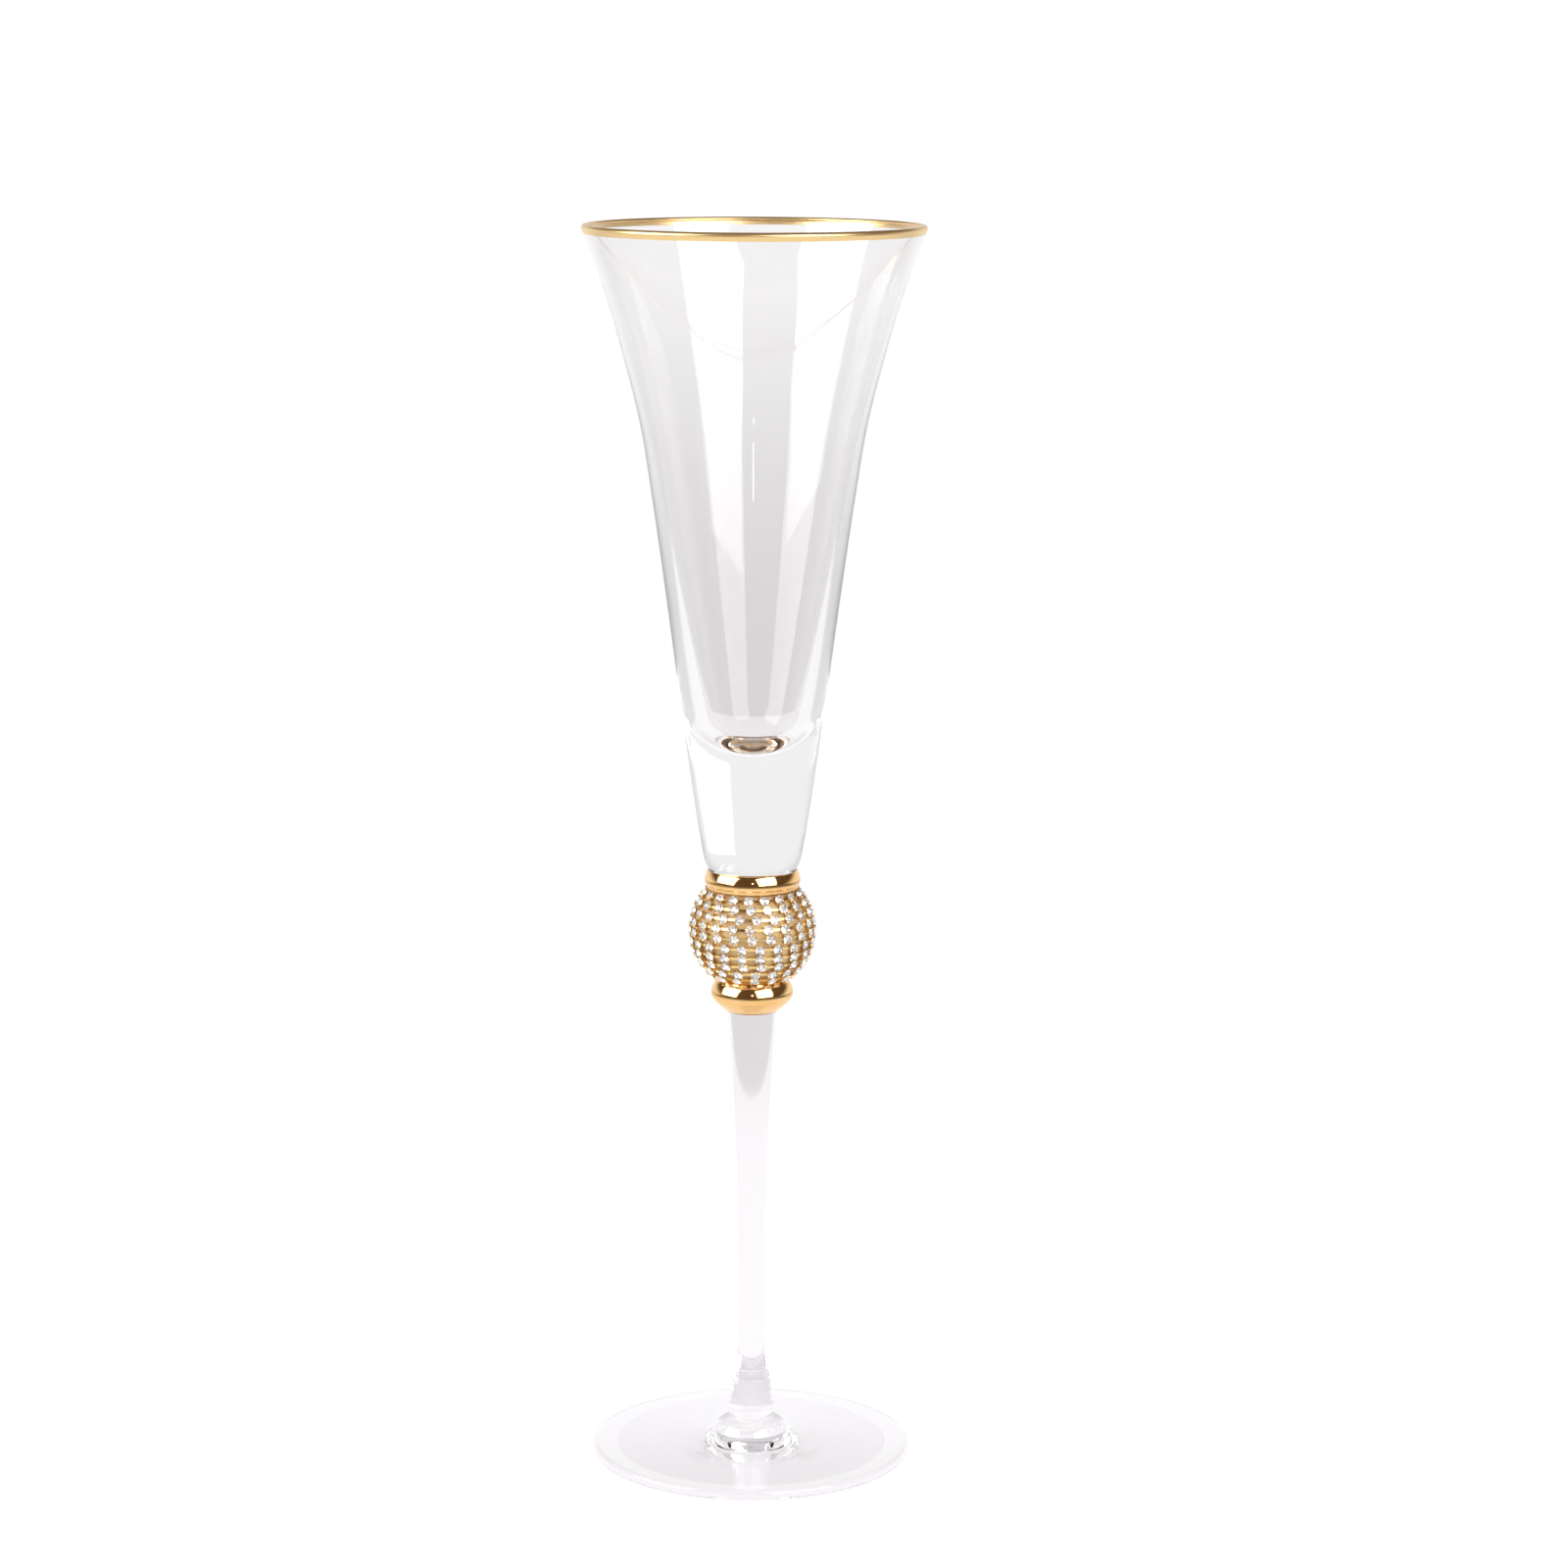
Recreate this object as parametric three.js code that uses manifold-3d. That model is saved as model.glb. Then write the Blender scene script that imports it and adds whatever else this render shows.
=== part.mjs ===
// A champagne flute: a glass trumpet bowl with a gilded lip, a jewelled ball between two gilt
// collars, and a drawn glass stem on a glass foot. Millimetres, +Z up, origin under the foot.
import * as THREE from "three";
import { mergeVertices } from "three/addons/utils/BufferGeometryUtils.js";
import Module from "manifold-3d";

const wasm = await Module();
wasm.setup();
const TAU = 2 * Math.PI;

// ---- Driving dimensions ----
// Foot
const FOOT_RADIUS = 36.4;
const FOOT_EDGE = 2.4; // thickness at the edge
const FOOT_HOLLOW = 1.0; // rise of the underside over the table
const RESTING_RING = 5; // width of the flat ring that the flute stands on
const BOSS_RADIUS = 8.8; // where the foot starts to rise to the stub
const BOSS_HEIGHT = 4.5;
const CREASE_RADIUS = 5.0; // the pinched line under the stub
const CREASE_HEIGHT = 8.3;
const STUB_HEIGHT = 17; // top of the stub that the stem is bonded to
// Stem
const STEM_BASE_RADIUS = 4.35;
const WAIST_RADIUS = 2.85;
const WAIST_RISE = 20; // the narrowest place, over the stub
const STEM_TOP_RADIUS = 5.35;
const STEM_SHOWN = 86.4; // between the stub and the lower collar
const STEM_PLUG = 3.6; // length inside the lower collar
// Jewelled ball
const BALL_RADIUS = 13;
const SHELL_WALL = 0.9;
const LOWER_OPENING = 6; // radius of the hole at the bottom of the ball
const UPPER_OPENING = 7.9;
const SHELL_LAP = 1.2; // height of the spigot that joins the half shells
const ROW_PITCH = 2.33; // spacing of the chain rows at the cups' tops; as many as fit are wound on
const FIRST_ROW_GAP = 0.16; // between the upper collar's skirt and the first row
const LAST_ROW_GAP = 1.17; // between the last row and the lower collar's crown
const CHAIN_PITCH = 4.25; // spacing of the stones at the stones' own height
const CUP_WIDTH = 2.1; // at the top of a cup
const CUP_FOOT = 1.7; // where it sits on the ball
const CUP_HEIGHT = 1.4;
const LINK_WIDTH = 0.56;
const LINK_HEIGHT = 0.5;
// Stones above or below the count that the pitch gives, and the turn of each row in degrees
const ROW_EXTRA = [2, 1, 1, 0, 0, 0, 0, 0, 1, 0];
const ROW_LEAD = [-4, -1, 5, -1.5, 0.5, 8, 8.4, 10, 4, 4];
// Collars
const LOWER_SEAT_RADIUS = 7.6; // where the ball rests in the lower collar
const LOWER_COLLAR_HEIGHT = 8.1;
const LOWER_WEB = 6.6; // underside of the lower collar's web, over its lip
const LOWER_BEAD_OVERHANG = 1.7; // of the bead past the ball's seat
const LOWER_BEAD_RISE = 4.0; // of the bead's widest place over the lip
const BEAD_CURVE = 4.8; // section radius of both beads' bellied sides
const EDGE_STEP = 0.1; // small steps and chamfers on the collars
const CROWN_DROP = 0.6; // from the ball's seat down to the outer edge of the collar's crown
const UPPER_SEAT_RADIUS = 8.7;
const UPPER_FLOOR = 1.5; // thickness of the upper collar's floor over its seat
const UPPER_BEAD_RADIUS = 10.8;
const UPPER_BEAD_RISE = 1.7; // of the bead's widest place over the seat
const SKIRT_HEIGHT = 0.8;
const SKIRT_INSET = 0.45; // of the skirt under the upper bead
const UPPER_COLLAR_HEIGHT = 4.25;
const BOSS_DEPTH = 1.2; // of each collar's boss inside the ball
const LOWER_LIP_WALL = 0.5; // metal at the lower collar's lip
const UPPER_LIP_WALL = 0.15;
const GROOVE_OUTER = 7.5; // turned groove on the upper collar's floor
const GROOVE_INNER = 5.1;
const GROOVE_DEPTH = 0.25;
// Fastening
const SCREW_RADIUS = 1.5;
const HEAD_RADIUS = 2.8;
const HEAD_HEIGHT = 0.9;
const SLOT_WIDTH = 0.7;
const SLOT_DEPTH = 0.45;
const WASHER_RADIUS = 3.5;
const WASHER_THICKNESS = 0.5;
const NUT_FLATS = 5.5;
const NUT_HEIGHT = 1.8;
// Bowl
const PLUG_RADIUS = 9.8; // of the solid glass in the upper collar
const NECK_RADIUS = 11.2;
const NECK_RISE = 3.8; // from the collar's top to the neck
const BOWL_HEIGHT = 139; // from the neck to the foot of the rounded lip
const BOWL_RADIUS = 37.9; // outside, at the foot of the rounded lip
const LIP_RADIUS = 0.65; // half the glass thickness at the lip
const FLARE = 23; // degrees that the wall leans out at the lip
const CAVITY_RISE = 31.4; // from the neck to where the cavity's round bottom ends
const CAVITY_WALL = 5.5; // wall there
const WALL_POWER = 2.4; // how late the wall thickens on the way down
const BAND_THICKNESS = 0.12;
const BAND_DROP_OUTSIDE = 1.4; // length of the gilding under the rounded lip
const BAND_DROP_INSIDE = 1;
// Clearances
const GLUE = 0.12; // adhesive round a plug
const GLUE_BED = 0.2; // adhesive under a plug's end, and between stub and stem
const SEAT_GAP = 0.05; // between the ball and what rests on it
const SHELL_GAP = 0.04; // between the two half shells
const BOSS_GAP = 0.2; // round a collar's boss in the ball
const SCREW_GAP = 0.1; // round the screw
// Segments round a turned piece; pieces that touch on a round face share the same count
const ROUND = 40;
const SMALL = 24;

// ---- Worked-out heights and radii ----
const stemBase = STUB_HEIGHT + GLUE_BED;
const lowerCollarBase = stemBase + STEM_SHOWN;
const stemEnd = lowerCollarBase + STEM_PLUG;
const webUnder = lowerCollarBase + LOWER_WEB;
const lowerSeat = lowerCollarBase + LOWER_COLLAR_HEIGHT;
const ballCentre = lowerSeat + ballDrop(LOWER_SEAT_RADIUS);
const upperSeat = ballCentre + ballDrop(UPPER_SEAT_RADIUS);
const floorTop = upperSeat + UPPER_FLOOR;
const upperCollarTop = upperSeat + UPPER_COLLAR_HEIGHT;
const plugEnd = floorTop + GLUE_BED;
const neck = upperCollarTop + NECK_RISE;
const lipFoot = neck + BOWL_HEIGHT;
const cavityStart = neck + CAVITY_RISE;
const stemBore = STEM_TOP_RADIUS + GLUE;
const plugBore = PLUG_RADIUS + GLUE;
const screwHole = SCREW_RADIUS + SCREW_GAP;
const crownRadius = LOWER_SEAT_RADIUS + LOWER_BEAD_OVERHANG - 1.25;
const skirtRadius = UPPER_BEAD_RADIUS - SKIRT_INSET;
const lowerBoss = LOWER_OPENING - BOSS_GAP;
const upperBoss = UPPER_OPENING - BOSS_GAP;

// The chain rows fill the ball between the collars
const cupTop = BALL_RADIUS + SEAT_GAP + CUP_HEIGHT;
const skirtLatitude = Math.atan2(upperSeat - ballCentre, skirtRadius);
const crownLatitude = Math.atan2(lowerSeat - CROWN_DROP - ballCentre, crownRadius);
const firstRow = skirtLatitude - (CUP_WIDTH / 2 + FIRST_ROW_GAP) / cupTop;
const lastRow = crownLatitude + (CUP_WIDTH / 2 + LAST_ROW_GAP) / cupTop;
const rowSteps = Math.round(((firstRow - lastRow) * cupTop) / ROW_PITCH);
const rowStep = (firstRow - lastRow) / rowSteps;

// Height of the ball's surface over its centre at a radius
function ballDrop(radius) {
  return Math.sqrt(BALL_RADIUS ** 2 - radius ** 2);
}

// ---- Shape helpers ----
function radians(degrees) {
  return (degrees * Math.PI) / 180;
}

// Smooth outline through [radius, height] points, as count + 1 points
function smooth(points, count) {
  const curve = new THREE.SplineCurve(points.map(([r, z]) => new THREE.Vector2(r, z)));
  return curve.getPoints(count).map((p) => [p.x, p.y]);
}

// Arc of [radius, height] points about a centre, from one angle to another in degrees
function arc([r, z], size, from, to, steps) {
  return Array.from({ length: steps + 1 }, (_, i) => {
    const angle = radians(from + ((to - from) * i) / steps);
    return [r + size * Math.cos(angle), z + size * Math.sin(angle)];
  });
}

// Points moved a distance to the right of the way that the outline runs
function offset(points, distance) {
  return points.map(([r, z], i) => {
    const [r0, z0] = points[Math.max(i - 1, 0)];
    const [r1, z1] = points[Math.min(i + 1, points.length - 1)];
    const length = Math.hypot(r1 - r0, z1 - z0);
    return [r + (distance * (z1 - z0)) / length, z - (distance * (r1 - r0)) / length];
  });
}

// Solid of revolution about Z; an outline off the axis is closed on itself
function turned(outline, segments) {
  const points = outline.map(([r, z]) => new THREE.Vector2(r, z));
  const onAxis = outline[0][0] === 0 && outline.at(-1)[0] === 0;
  if (!onAxis) points.push(points[0].clone());
  return new THREE.LatheGeometry(points, segments).rotateX(Math.PI / 2);
}

function manifoldOf(geometry) {
  const bare = geometry.clone().deleteAttribute("normal").deleteAttribute("uv");
  const merged = mergeVertices(bare, 1e-4);
  return new wasm.Manifold(
    new wasm.Mesh({
      numProp: 3,
      vertProperties: merged.attributes.position.array,
      triVerts: new Uint32Array(merged.index.array),
    }),
  );
}

function geometryOf(solid) {
  const mesh = solid.getMesh();
  const geometry = new THREE.BufferGeometry();
  geometry.setAttribute("position", new THREE.BufferAttribute(mesh.vertProperties, 3));
  geometry.setIndex(new THREE.BufferAttribute(mesh.triVerts, 1));
  return geometry;
}

// ---- Materials ----
const group = new THREE.Group();

function add(name, geometry, [color, roughness, metalness]) {
  const material = new THREE.MeshStandardMaterial({ color, roughness, metalness });
  const mesh = new THREE.Mesh(geometry, material);
  mesh.name = name;
  group.add(mesh);
}

const CLEAR_GLASS = [0xf1eff3, 0.02, 0];
const GILT = [0xd9a04c, 0.14, 1];
const CRYSTAL = [0xe6dccb, 0.08, 0.2];
const ADHESIVE = [0xe8e6df, 0.35, 0];
const STEEL = [0xb9bbbd, 0.3, 1];

// ---- Foot and stem ----
function foot() {
  const restingInner = FOOT_RADIUS - 0.6 - RESTING_RING;
  const hollow = [
    [0, FOOT_HOLLOW],
    [restingInner * 0.5, FOOT_HOLLOW * 0.75],
    [restingInner, 0],
  ];
  const edge = [
    [FOOT_RADIUS - 0.6, 0],
    [FOOT_RADIUS - 0.1, FOOT_EDGE * 0.25],
    [FOOT_RADIUS, FOOT_EDGE * 0.55],
    [FOOT_RADIUS - 0.25, FOOT_EDGE * 0.85],
    [FOOT_RADIUS - 0.9, FOOT_EDGE],
  ];
  const top = [
    [FOOT_RADIUS / 2, FOOT_EDGE + 1.0],
    [BOSS_RADIUS + 3, BOSS_HEIGHT - 0.6],
    [BOSS_RADIUS, BOSS_HEIGHT],
    [BOSS_RADIUS - 0.9, BOSS_HEIGHT + 1.3],
    [CREASE_RADIUS + 1.4, CREASE_HEIGHT - 0.9],
    [CREASE_RADIUS, CREASE_HEIGHT],
    [CREASE_RADIUS + 0.15, CREASE_HEIGHT + 0.8],
    [STEM_BASE_RADIUS, STUB_HEIGHT],
    [0, STUB_HEIGHT],
  ];
  return turned([...hollow, ...edge, ...top], ROUND);
}

function stem() {
  const waist = stemBase + WAIST_RISE;
  const rise = lowerCollarBase - waist;
  const growth = STEM_TOP_RADIUS - WAIST_RADIUS;
  const side = smooth(
    [
      [STEM_BASE_RADIUS, stemBase],
      [WAIST_RADIUS + 0.4, stemBase + 0.3 * WAIST_RISE],
      [WAIST_RADIUS, waist],
      [WAIST_RADIUS + 0.14 * growth, waist + 0.36 * rise],
      [WAIST_RADIUS + 0.52 * growth, waist + 0.7 * rise],
      [STEM_TOP_RADIUS, lowerCollarBase],
    ],
    10,
  );
  return turned([[0, stemBase], ...side, [STEM_TOP_RADIUS, stemEnd], [0, stemEnd]], ROUND);
}

// A cup of adhesive: a bed under the end of a plug and a sleeve round it
function glueCup(bore, plug, floor, bed, lip) {
  return [
    [0, floor],
    [bore, floor],
    [bore, lip],
    [plug, lip],
    [plug, bed],
    [0, bed],
  ];
}

// ---- Collars ----
// Part of the ball's surface, SEAT_GAP clear of it, as an outline between two radii
function seat(side, fromRadius, toRadius, steps) {
  const size = BALL_RADIUS + SEAT_GAP;
  const from = Math.acos(fromRadius / size);
  const to = Math.acos(toRadius / size);
  return Array.from({ length: steps + 1 }, (_, i) => {
    const angle = from + ((to - from) * i) / steps;
    return [size * Math.cos(angle), ballCentre + side * size * Math.sin(angle)];
  });
}

function lowerCollar() {
  const lip = stemBore + LOWER_LIP_WALL;
  const bead = LOWER_SEAT_RADIUS + LOWER_BEAD_OVERHANG;
  const flare = bead - lip;
  const base = lowerCollarBase;
  const outside = smooth(
    [
      [lip, base],
      [lip + 0.16 * flare, base + 0.12 * LOWER_BEAD_RISE],
      [lip + 0.38 * flare, base + 0.28 * LOWER_BEAD_RISE],
      [lip + 0.66 * flare, base + 0.5 * LOWER_BEAD_RISE],
      [lip + 0.89 * flare, base + 0.74 * LOWER_BEAD_RISE],
    ],
    6,
  );
  const crown = [crownRadius, lowerSeat - CROWN_DROP];
  const belly = beadBelly(bead, base + LOWER_BEAD_RISE, crown[1] - CROWN_DROP);
  const cup = seat(-1, LOWER_SEAT_RADIUS, lowerBoss, 2);
  const bossTop = ballCentre - ballDrop(LOWER_OPENING) + BOSS_DEPTH;
  const inside = [
    [lowerBoss, bossTop],
    [screwHole, bossTop],
    [screwHole, webUnder],
    [stemBore, webUnder],
    [stemBore, base],
  ];
  return turned([...outside, ...belly, crown, ...cup, ...inside], ROUND);
}

// Bellied side of a bead, from its widest place up to a height
function beadBelly(radius, widest, top) {
  const rise = (Math.asin((top - widest) / BEAD_CURVE) * 180) / Math.PI;
  return arc([radius - BEAD_CURVE, widest], BEAD_CURVE, 0, rise, 4);
}

function upperCollar() {
  const base = upperSeat;
  const bead = UPPER_BEAD_RADIUS;
  const lip = plugBore + UPPER_LIP_WALL;
  const bossBottom = ballCentre + ballDrop(UPPER_OPENING) - BOSS_DEPTH;
  const skirt = [
    [skirtRadius, base],
    [skirtRadius, base + SKIRT_HEIGHT],
    [bead - 0.4 * SKIRT_INSET, base + SKIRT_HEIGHT + EDGE_STEP],
    [bead - EDGE_STEP / 2, base + (SKIRT_HEIGHT + UPPER_BEAD_RISE) / 2],
  ];
  const belly = beadBelly(bead, base + UPPER_BEAD_RISE, upperCollarTop - EDGE_STEP);
  const top = [
    [lip, upperCollarTop],
    [plugBore, upperCollarTop],
    [plugBore, floorTop],
  ];
  // Turned groove in the floor, and the recess that the screw's head lies in
  const floor = [
    [GROOVE_OUTER + EDGE_STEP, floorTop],
    [GROOVE_OUTER - EDGE_STEP, floorTop - GROOVE_DEPTH],
    [GROOVE_INNER + EDGE_STEP, floorTop - GROOVE_DEPTH],
    [GROOVE_INNER - EDGE_STEP, floorTop],
    [HEAD_RADIUS + SCREW_GAP, floorTop],
    [HEAD_RADIUS + SCREW_GAP, floorTop - HEAD_HEIGHT],
    [screwHole, floorTop - HEAD_HEIGHT],
  ];
  const boss = [
    [screwHole, bossBottom],
    [upperBoss, bossBottom],
  ];
  const cup = seat(1, upperBoss, UPPER_SEAT_RADIUS, 1);
  return turned([...skirt, ...belly, ...top, ...floor, ...boss, ...cup], ROUND);
}

// ---- Ball ----
// Half shell; side is 1 above the equator and -1 below. The upper half carries the spigot.
function shell(side) {
  const inner = BALL_RADIUS - SHELL_WALL;
  const lap = BALL_RADIUS - SHELL_WALL / 2;
  const opening = side > 0 ? UPPER_OPENING : LOWER_OPENING;
  const pole = (size) => (Math.acos(opening / size) * 180) / Math.PI;
  const centre = [0, ballCentre];
  const outside = arc(centre, BALL_RADIUS, 0, side * pole(BALL_RADIUS), 5);
  const inside = arc(centre, inner, side * pole(inner), 0, 5);
  outside[0][1] += (side * SHELL_GAP) / 2;
  inside.pop();
  const step =
    side > 0
      ? [
          [inner, ballCentre - SHELL_LAP],
          [lap - SHELL_GAP / 2, ballCentre - SHELL_LAP],
          [lap - SHELL_GAP / 2, ballCentre + SHELL_GAP / 2],
        ]
      : [
          [inner, ballCentre - SHELL_LAP - SHELL_GAP],
          [lap + SHELL_GAP / 2, ballCentre - SHELL_LAP - SHELL_GAP],
          [lap + SHELL_GAP / 2, ballCentre - SHELL_GAP / 2],
        ];
  const outline = [...outside, ...inside, ...step];
  return turned(side > 0 ? outline : outline.reverse(), ROUND);
}

// One row of stone chain: a closed ring of square cups with links between them
function chainRow(row) {
  const latitude = firstRow - row * rowStep;
  const foot = BALL_RADIUS + SEAT_GAP;
  const ring = cupTop * Math.cos(latitude);
  const stones = Math.round((TAU * ring) / CHAIN_PITCH) + (ROW_EXTRA[row] ?? 0);
  const out = [Math.cos(latitude), Math.sin(latitude)];
  const up = [-Math.sin(latitude), Math.cos(latitude)];
  const clear = CUP_FOOT ** 2 / (8 * foot); // lifts the flat underside off the ball
  const positions = [];
  const index = [];
  const half = Math.asin(CUP_WIDTH / 2 / ring);
  const step = TAU / stones;
  const sections = [
    [-half, CUP_FOOT, CUP_WIDTH, CUP_HEIGHT],
    [half, CUP_FOOT, CUP_WIDTH, CUP_HEIGHT],
    [half + 0.02, LINK_WIDTH, LINK_WIDTH, LINK_HEIGHT],
    [step - half - 0.02, LINK_WIDTH, LINK_WIDTH, LINK_HEIGHT],
  ];
  // Links run straight between the cups, so every underside starts above the chord's sag
  const sag = foot * Math.cos(latitude) * (1 - Math.cos(step / 2 - half));
  const start = foot + clear + sag;
  for (let stone = 0; stone < stones; stone += 1) {
    for (const [turn, base, top, height] of sections) {
      const angle = radians((ROW_LEAD[row] ?? 0) - 90) + stone * step + turn;
      for (const [across, over] of [[-1, 0], [-1, 1], [1, 1], [1, 0]]) {
        const along = start + over * (height - clear - sag);
        const aside = (across * (over ? top : base)) / 2;
        const radius = along * out[0] + aside * up[0];
        const z = ballCentre + along * out[1] + aside * up[1];
        positions.push(radius * Math.cos(angle), radius * Math.sin(angle), z);
      }
    }
  }
  const count = stones * sections.length;
  for (let i = 0; i < count; i += 1) {
    for (let corner = 0; corner < 4; corner += 1) {
      const a = 4 * i + corner;
      const b = 4 * i + ((corner + 1) % 4);
      const c = 4 * ((i + 1) % count) + ((corner + 1) % 4);
      const d = 4 * ((i + 1) % count) + corner;
      index.push(a, c, b, a, d, c);
    }
  }
  const geometry = new THREE.BufferGeometry();
  geometry.setAttribute("position", new THREE.Float32BufferAttribute(positions, 3));
  geometry.setIndex(index);
  return geometry;
}

// ---- Fastening ----
const headTop = floorTop - 0.05;
const headUnder = floorTop - HEAD_HEIGHT;
const washerUnder = webUnder - WASHER_THICKNESS;
const nutUnder = washerUnder - NUT_HEIGHT;

function tieScrew() {
  const body = turned(
    [
      [0, nutUnder - 0.3],
      [SCREW_RADIUS - 0.25, nutUnder - 0.3],
      [SCREW_RADIUS, nutUnder],
      [SCREW_RADIUS, headUnder],
      [HEAD_RADIUS, headUnder],
      [HEAD_RADIUS, headTop - 0.2],
      [HEAD_RADIUS - 0.3, headTop],
      [0, headTop],
    ],
    SMALL,
  );
  const slot = new THREE.BoxGeometry(3 * HEAD_RADIUS, SLOT_WIDTH, 2 * SLOT_DEPTH);
  slot.translate(0, 0, headTop);
  return geometryOf(manifoldOf(body).subtract(manifoldOf(slot)));
}

function tieNut() {
  const hexagon = new THREE.Shape();
  const corner = NUT_FLATS / 2 / Math.cos(Math.PI / 6);
  for (let i = 0; i < 6; i += 1) {
    const angle = (i * TAU) / 6;
    hexagon[i ? "lineTo" : "moveTo"](corner * Math.cos(angle), corner * Math.sin(angle));
  }
  hexagon.closePath();
  hexagon.holes.push(new THREE.Path().absarc(0, 0, screwHole, 0, TAU, true));
  const options = { depth: NUT_HEIGHT, bevelEnabled: false, curveSegments: SMALL / 2 };
  return new THREE.ExtrudeGeometry(hexagon, options).translate(0, 0, nutUnder);
}

function tieWasher() {
  return turned(
    [
      [screwHole, washerUnder],
      [WASHER_RADIUS, washerUnder],
      [WASHER_RADIUS, webUnder],
      [screwHole, webUnder],
    ],
    SMALL,
  );
}

// ---- Bowl ----
// Share of the growth from neck to lip at a share of the height, for the trumpet outline
const TRUMPET = [
  [0, 0],
  [0.067, 0.078],
  [0.18, 0.231],
  [0.322, 0.434],
  [0.434, 0.585],
  [0.517, 0.685],
  [0.674, 0.809],
  [0.824, 0.908],
  [0.921, 0.96],
  [1, 1],
];
const lean = radians(FLARE);
const lipCentre = [
  BOWL_RADIUS - LIP_RADIUS * Math.cos(lean),
  lipFoot + LIP_RADIUS * Math.sin(lean),
];
const outerWall = smooth(
  TRUMPET.map(([out, up]) => [
    NECK_RADIUS + out * (BOWL_RADIUS - NECK_RADIUS),
    neck + up * BOWL_HEIGHT,
  ]),
  12,
);
const lip = arc(lipCentre, LIP_RADIUS, -FLARE, 180 - FLARE, 3);
const innerTop = lip.at(-1);
const innerWall = innerOutline();

// The cavity's side, from the lip down: the outer wall less a wall that thickens downwards
function innerOutline() {
  const top = innerTop[1];
  const rows = 8;
  return Array.from({ length: rows }, (_, i) => {
    const z = top + ((cavityStart - top) * (i + 1)) / rows;
    const share = (lipFoot - z) / (lipFoot - cavityStart);
    const wall = 2 * LIP_RADIUS + 0.1 + (CAVITY_WALL - 2 * LIP_RADIUS - 0.1) * share ** WALL_POWER;
    return [outerRadius(z) - wall, z];
  });
}

function outerRadius(z) {
  const next = outerWall.findIndex(([, height]) => height >= z);
  const [r1, z1] = outerWall[Math.max(next, 1)];
  const [r0, z0] = outerWall[Math.max(next, 1) - 1];
  return r0 + ((r1 - r0) * (z - z0)) / (z1 - z0);
}

function bowl() {
  const cavityRadius = innerWall.at(-1)[0];
  const bottom = arc([0, cavityStart], cavityRadius, 0, -90, 5).slice(1);
  bottom[bottom.length - 1][0] = 0;
  return turned(
    [
      [0, plugEnd],
      [PLUG_RADIUS - 0.4, plugEnd],
      [PLUG_RADIUS, plugEnd + 0.4],
      [PLUG_RADIUS, upperCollarTop],
      [PLUG_RADIUS + 0.6 * (NECK_RADIUS - PLUG_RADIUS), upperCollarTop + 0.45 * NECK_RISE],
      ...outerWall,
      ...lip.slice(1),
      ...innerWall,
      ...bottom,
    ],
    ROUND,
  );
}

// The gilding laps over the lip and down both sides of the glass
function rimBand() {
  const [outR, outZ] = lip[0];
  const [inR, inZ] = innerTop;
  const [wallR, wallZ] = outerWall.at(-2);
  const [cavityR, cavityZ] = innerWall[0];
  const outShare = BAND_DROP_OUTSIDE / Math.hypot(outR - wallR, outZ - wallZ);
  const inShare = BAND_DROP_INSIDE / Math.hypot(inR - cavityR, inZ - cavityZ);
  const onGlass = [
    [outR + (wallR - outR) * outShare, outZ + (wallZ - outZ) * outShare],
    ...lip,
    [inR + (cavityR - inR) * inShare, inZ + (cavityZ - inZ) * inShare],
  ];
  return turned([...offset(onGlass, BAND_THICKNESS), ...onGlass.reverse()], ROUND);
}

// ---- Assembly ----
add("foot", foot(), CLEAR_GLASS);
add(
  "foot_adhesive",
  turned(
    [[0, STUB_HEIGHT], [STEM_BASE_RADIUS, STUB_HEIGHT], [STEM_BASE_RADIUS, stemBase], [0, stemBase]],
    ROUND,
  ),
  ADHESIVE,
);
add("stem", stem(), CLEAR_GLASS);
add(
  "stem_adhesive",
  turned(
    [
      [STEM_TOP_RADIUS, lowerCollarBase + 0.1],
      [stemBore, lowerCollarBase + 0.1],
      [stemBore, stemEnd],
      [STEM_TOP_RADIUS, stemEnd],
    ],
    ROUND,
  ),
  ADHESIVE,
);
add("lower_collar", lowerCollar(), GILT);
add("tie_nut", tieNut(), STEEL);
add("tie_washer", tieWasher(), STEEL);
add("tie_screw", tieScrew(), STEEL);
add("lower_ball_shell", shell(-1), GILT);
add("upper_ball_shell", shell(1), GILT);
for (let row = 0; row <= rowSteps; row += 1) {
  add("chain_row_" + String(row + 1).padStart(2, "0"), chainRow(row), CRYSTAL);
}
add("upper_collar", upperCollar(), GILT);
add(
  "bowl_adhesive",
  turned(glueCup(plugBore, PLUG_RADIUS, floorTop, plugEnd, upperCollarTop - 0.1), ROUND),
  ADHESIVE,
);
add("bowl", bowl(), CLEAR_GLASS);
add("rim_band", rimBand(), GILT);

export default group;
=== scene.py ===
"""A champagne flute: trumpet bowl with a gilded lip, a ball of stone chain between two gilt collars,
and a slim glass stem on a round foot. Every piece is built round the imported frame."""

import math

import bpy
import numpy as np
from bpy.props import FloatProperty, FloatVectorProperty, IntProperty, PointerProperty
from bpy.types import Operator, Panel, PropertyGroup
from mathutils import Matrix, Vector


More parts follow.
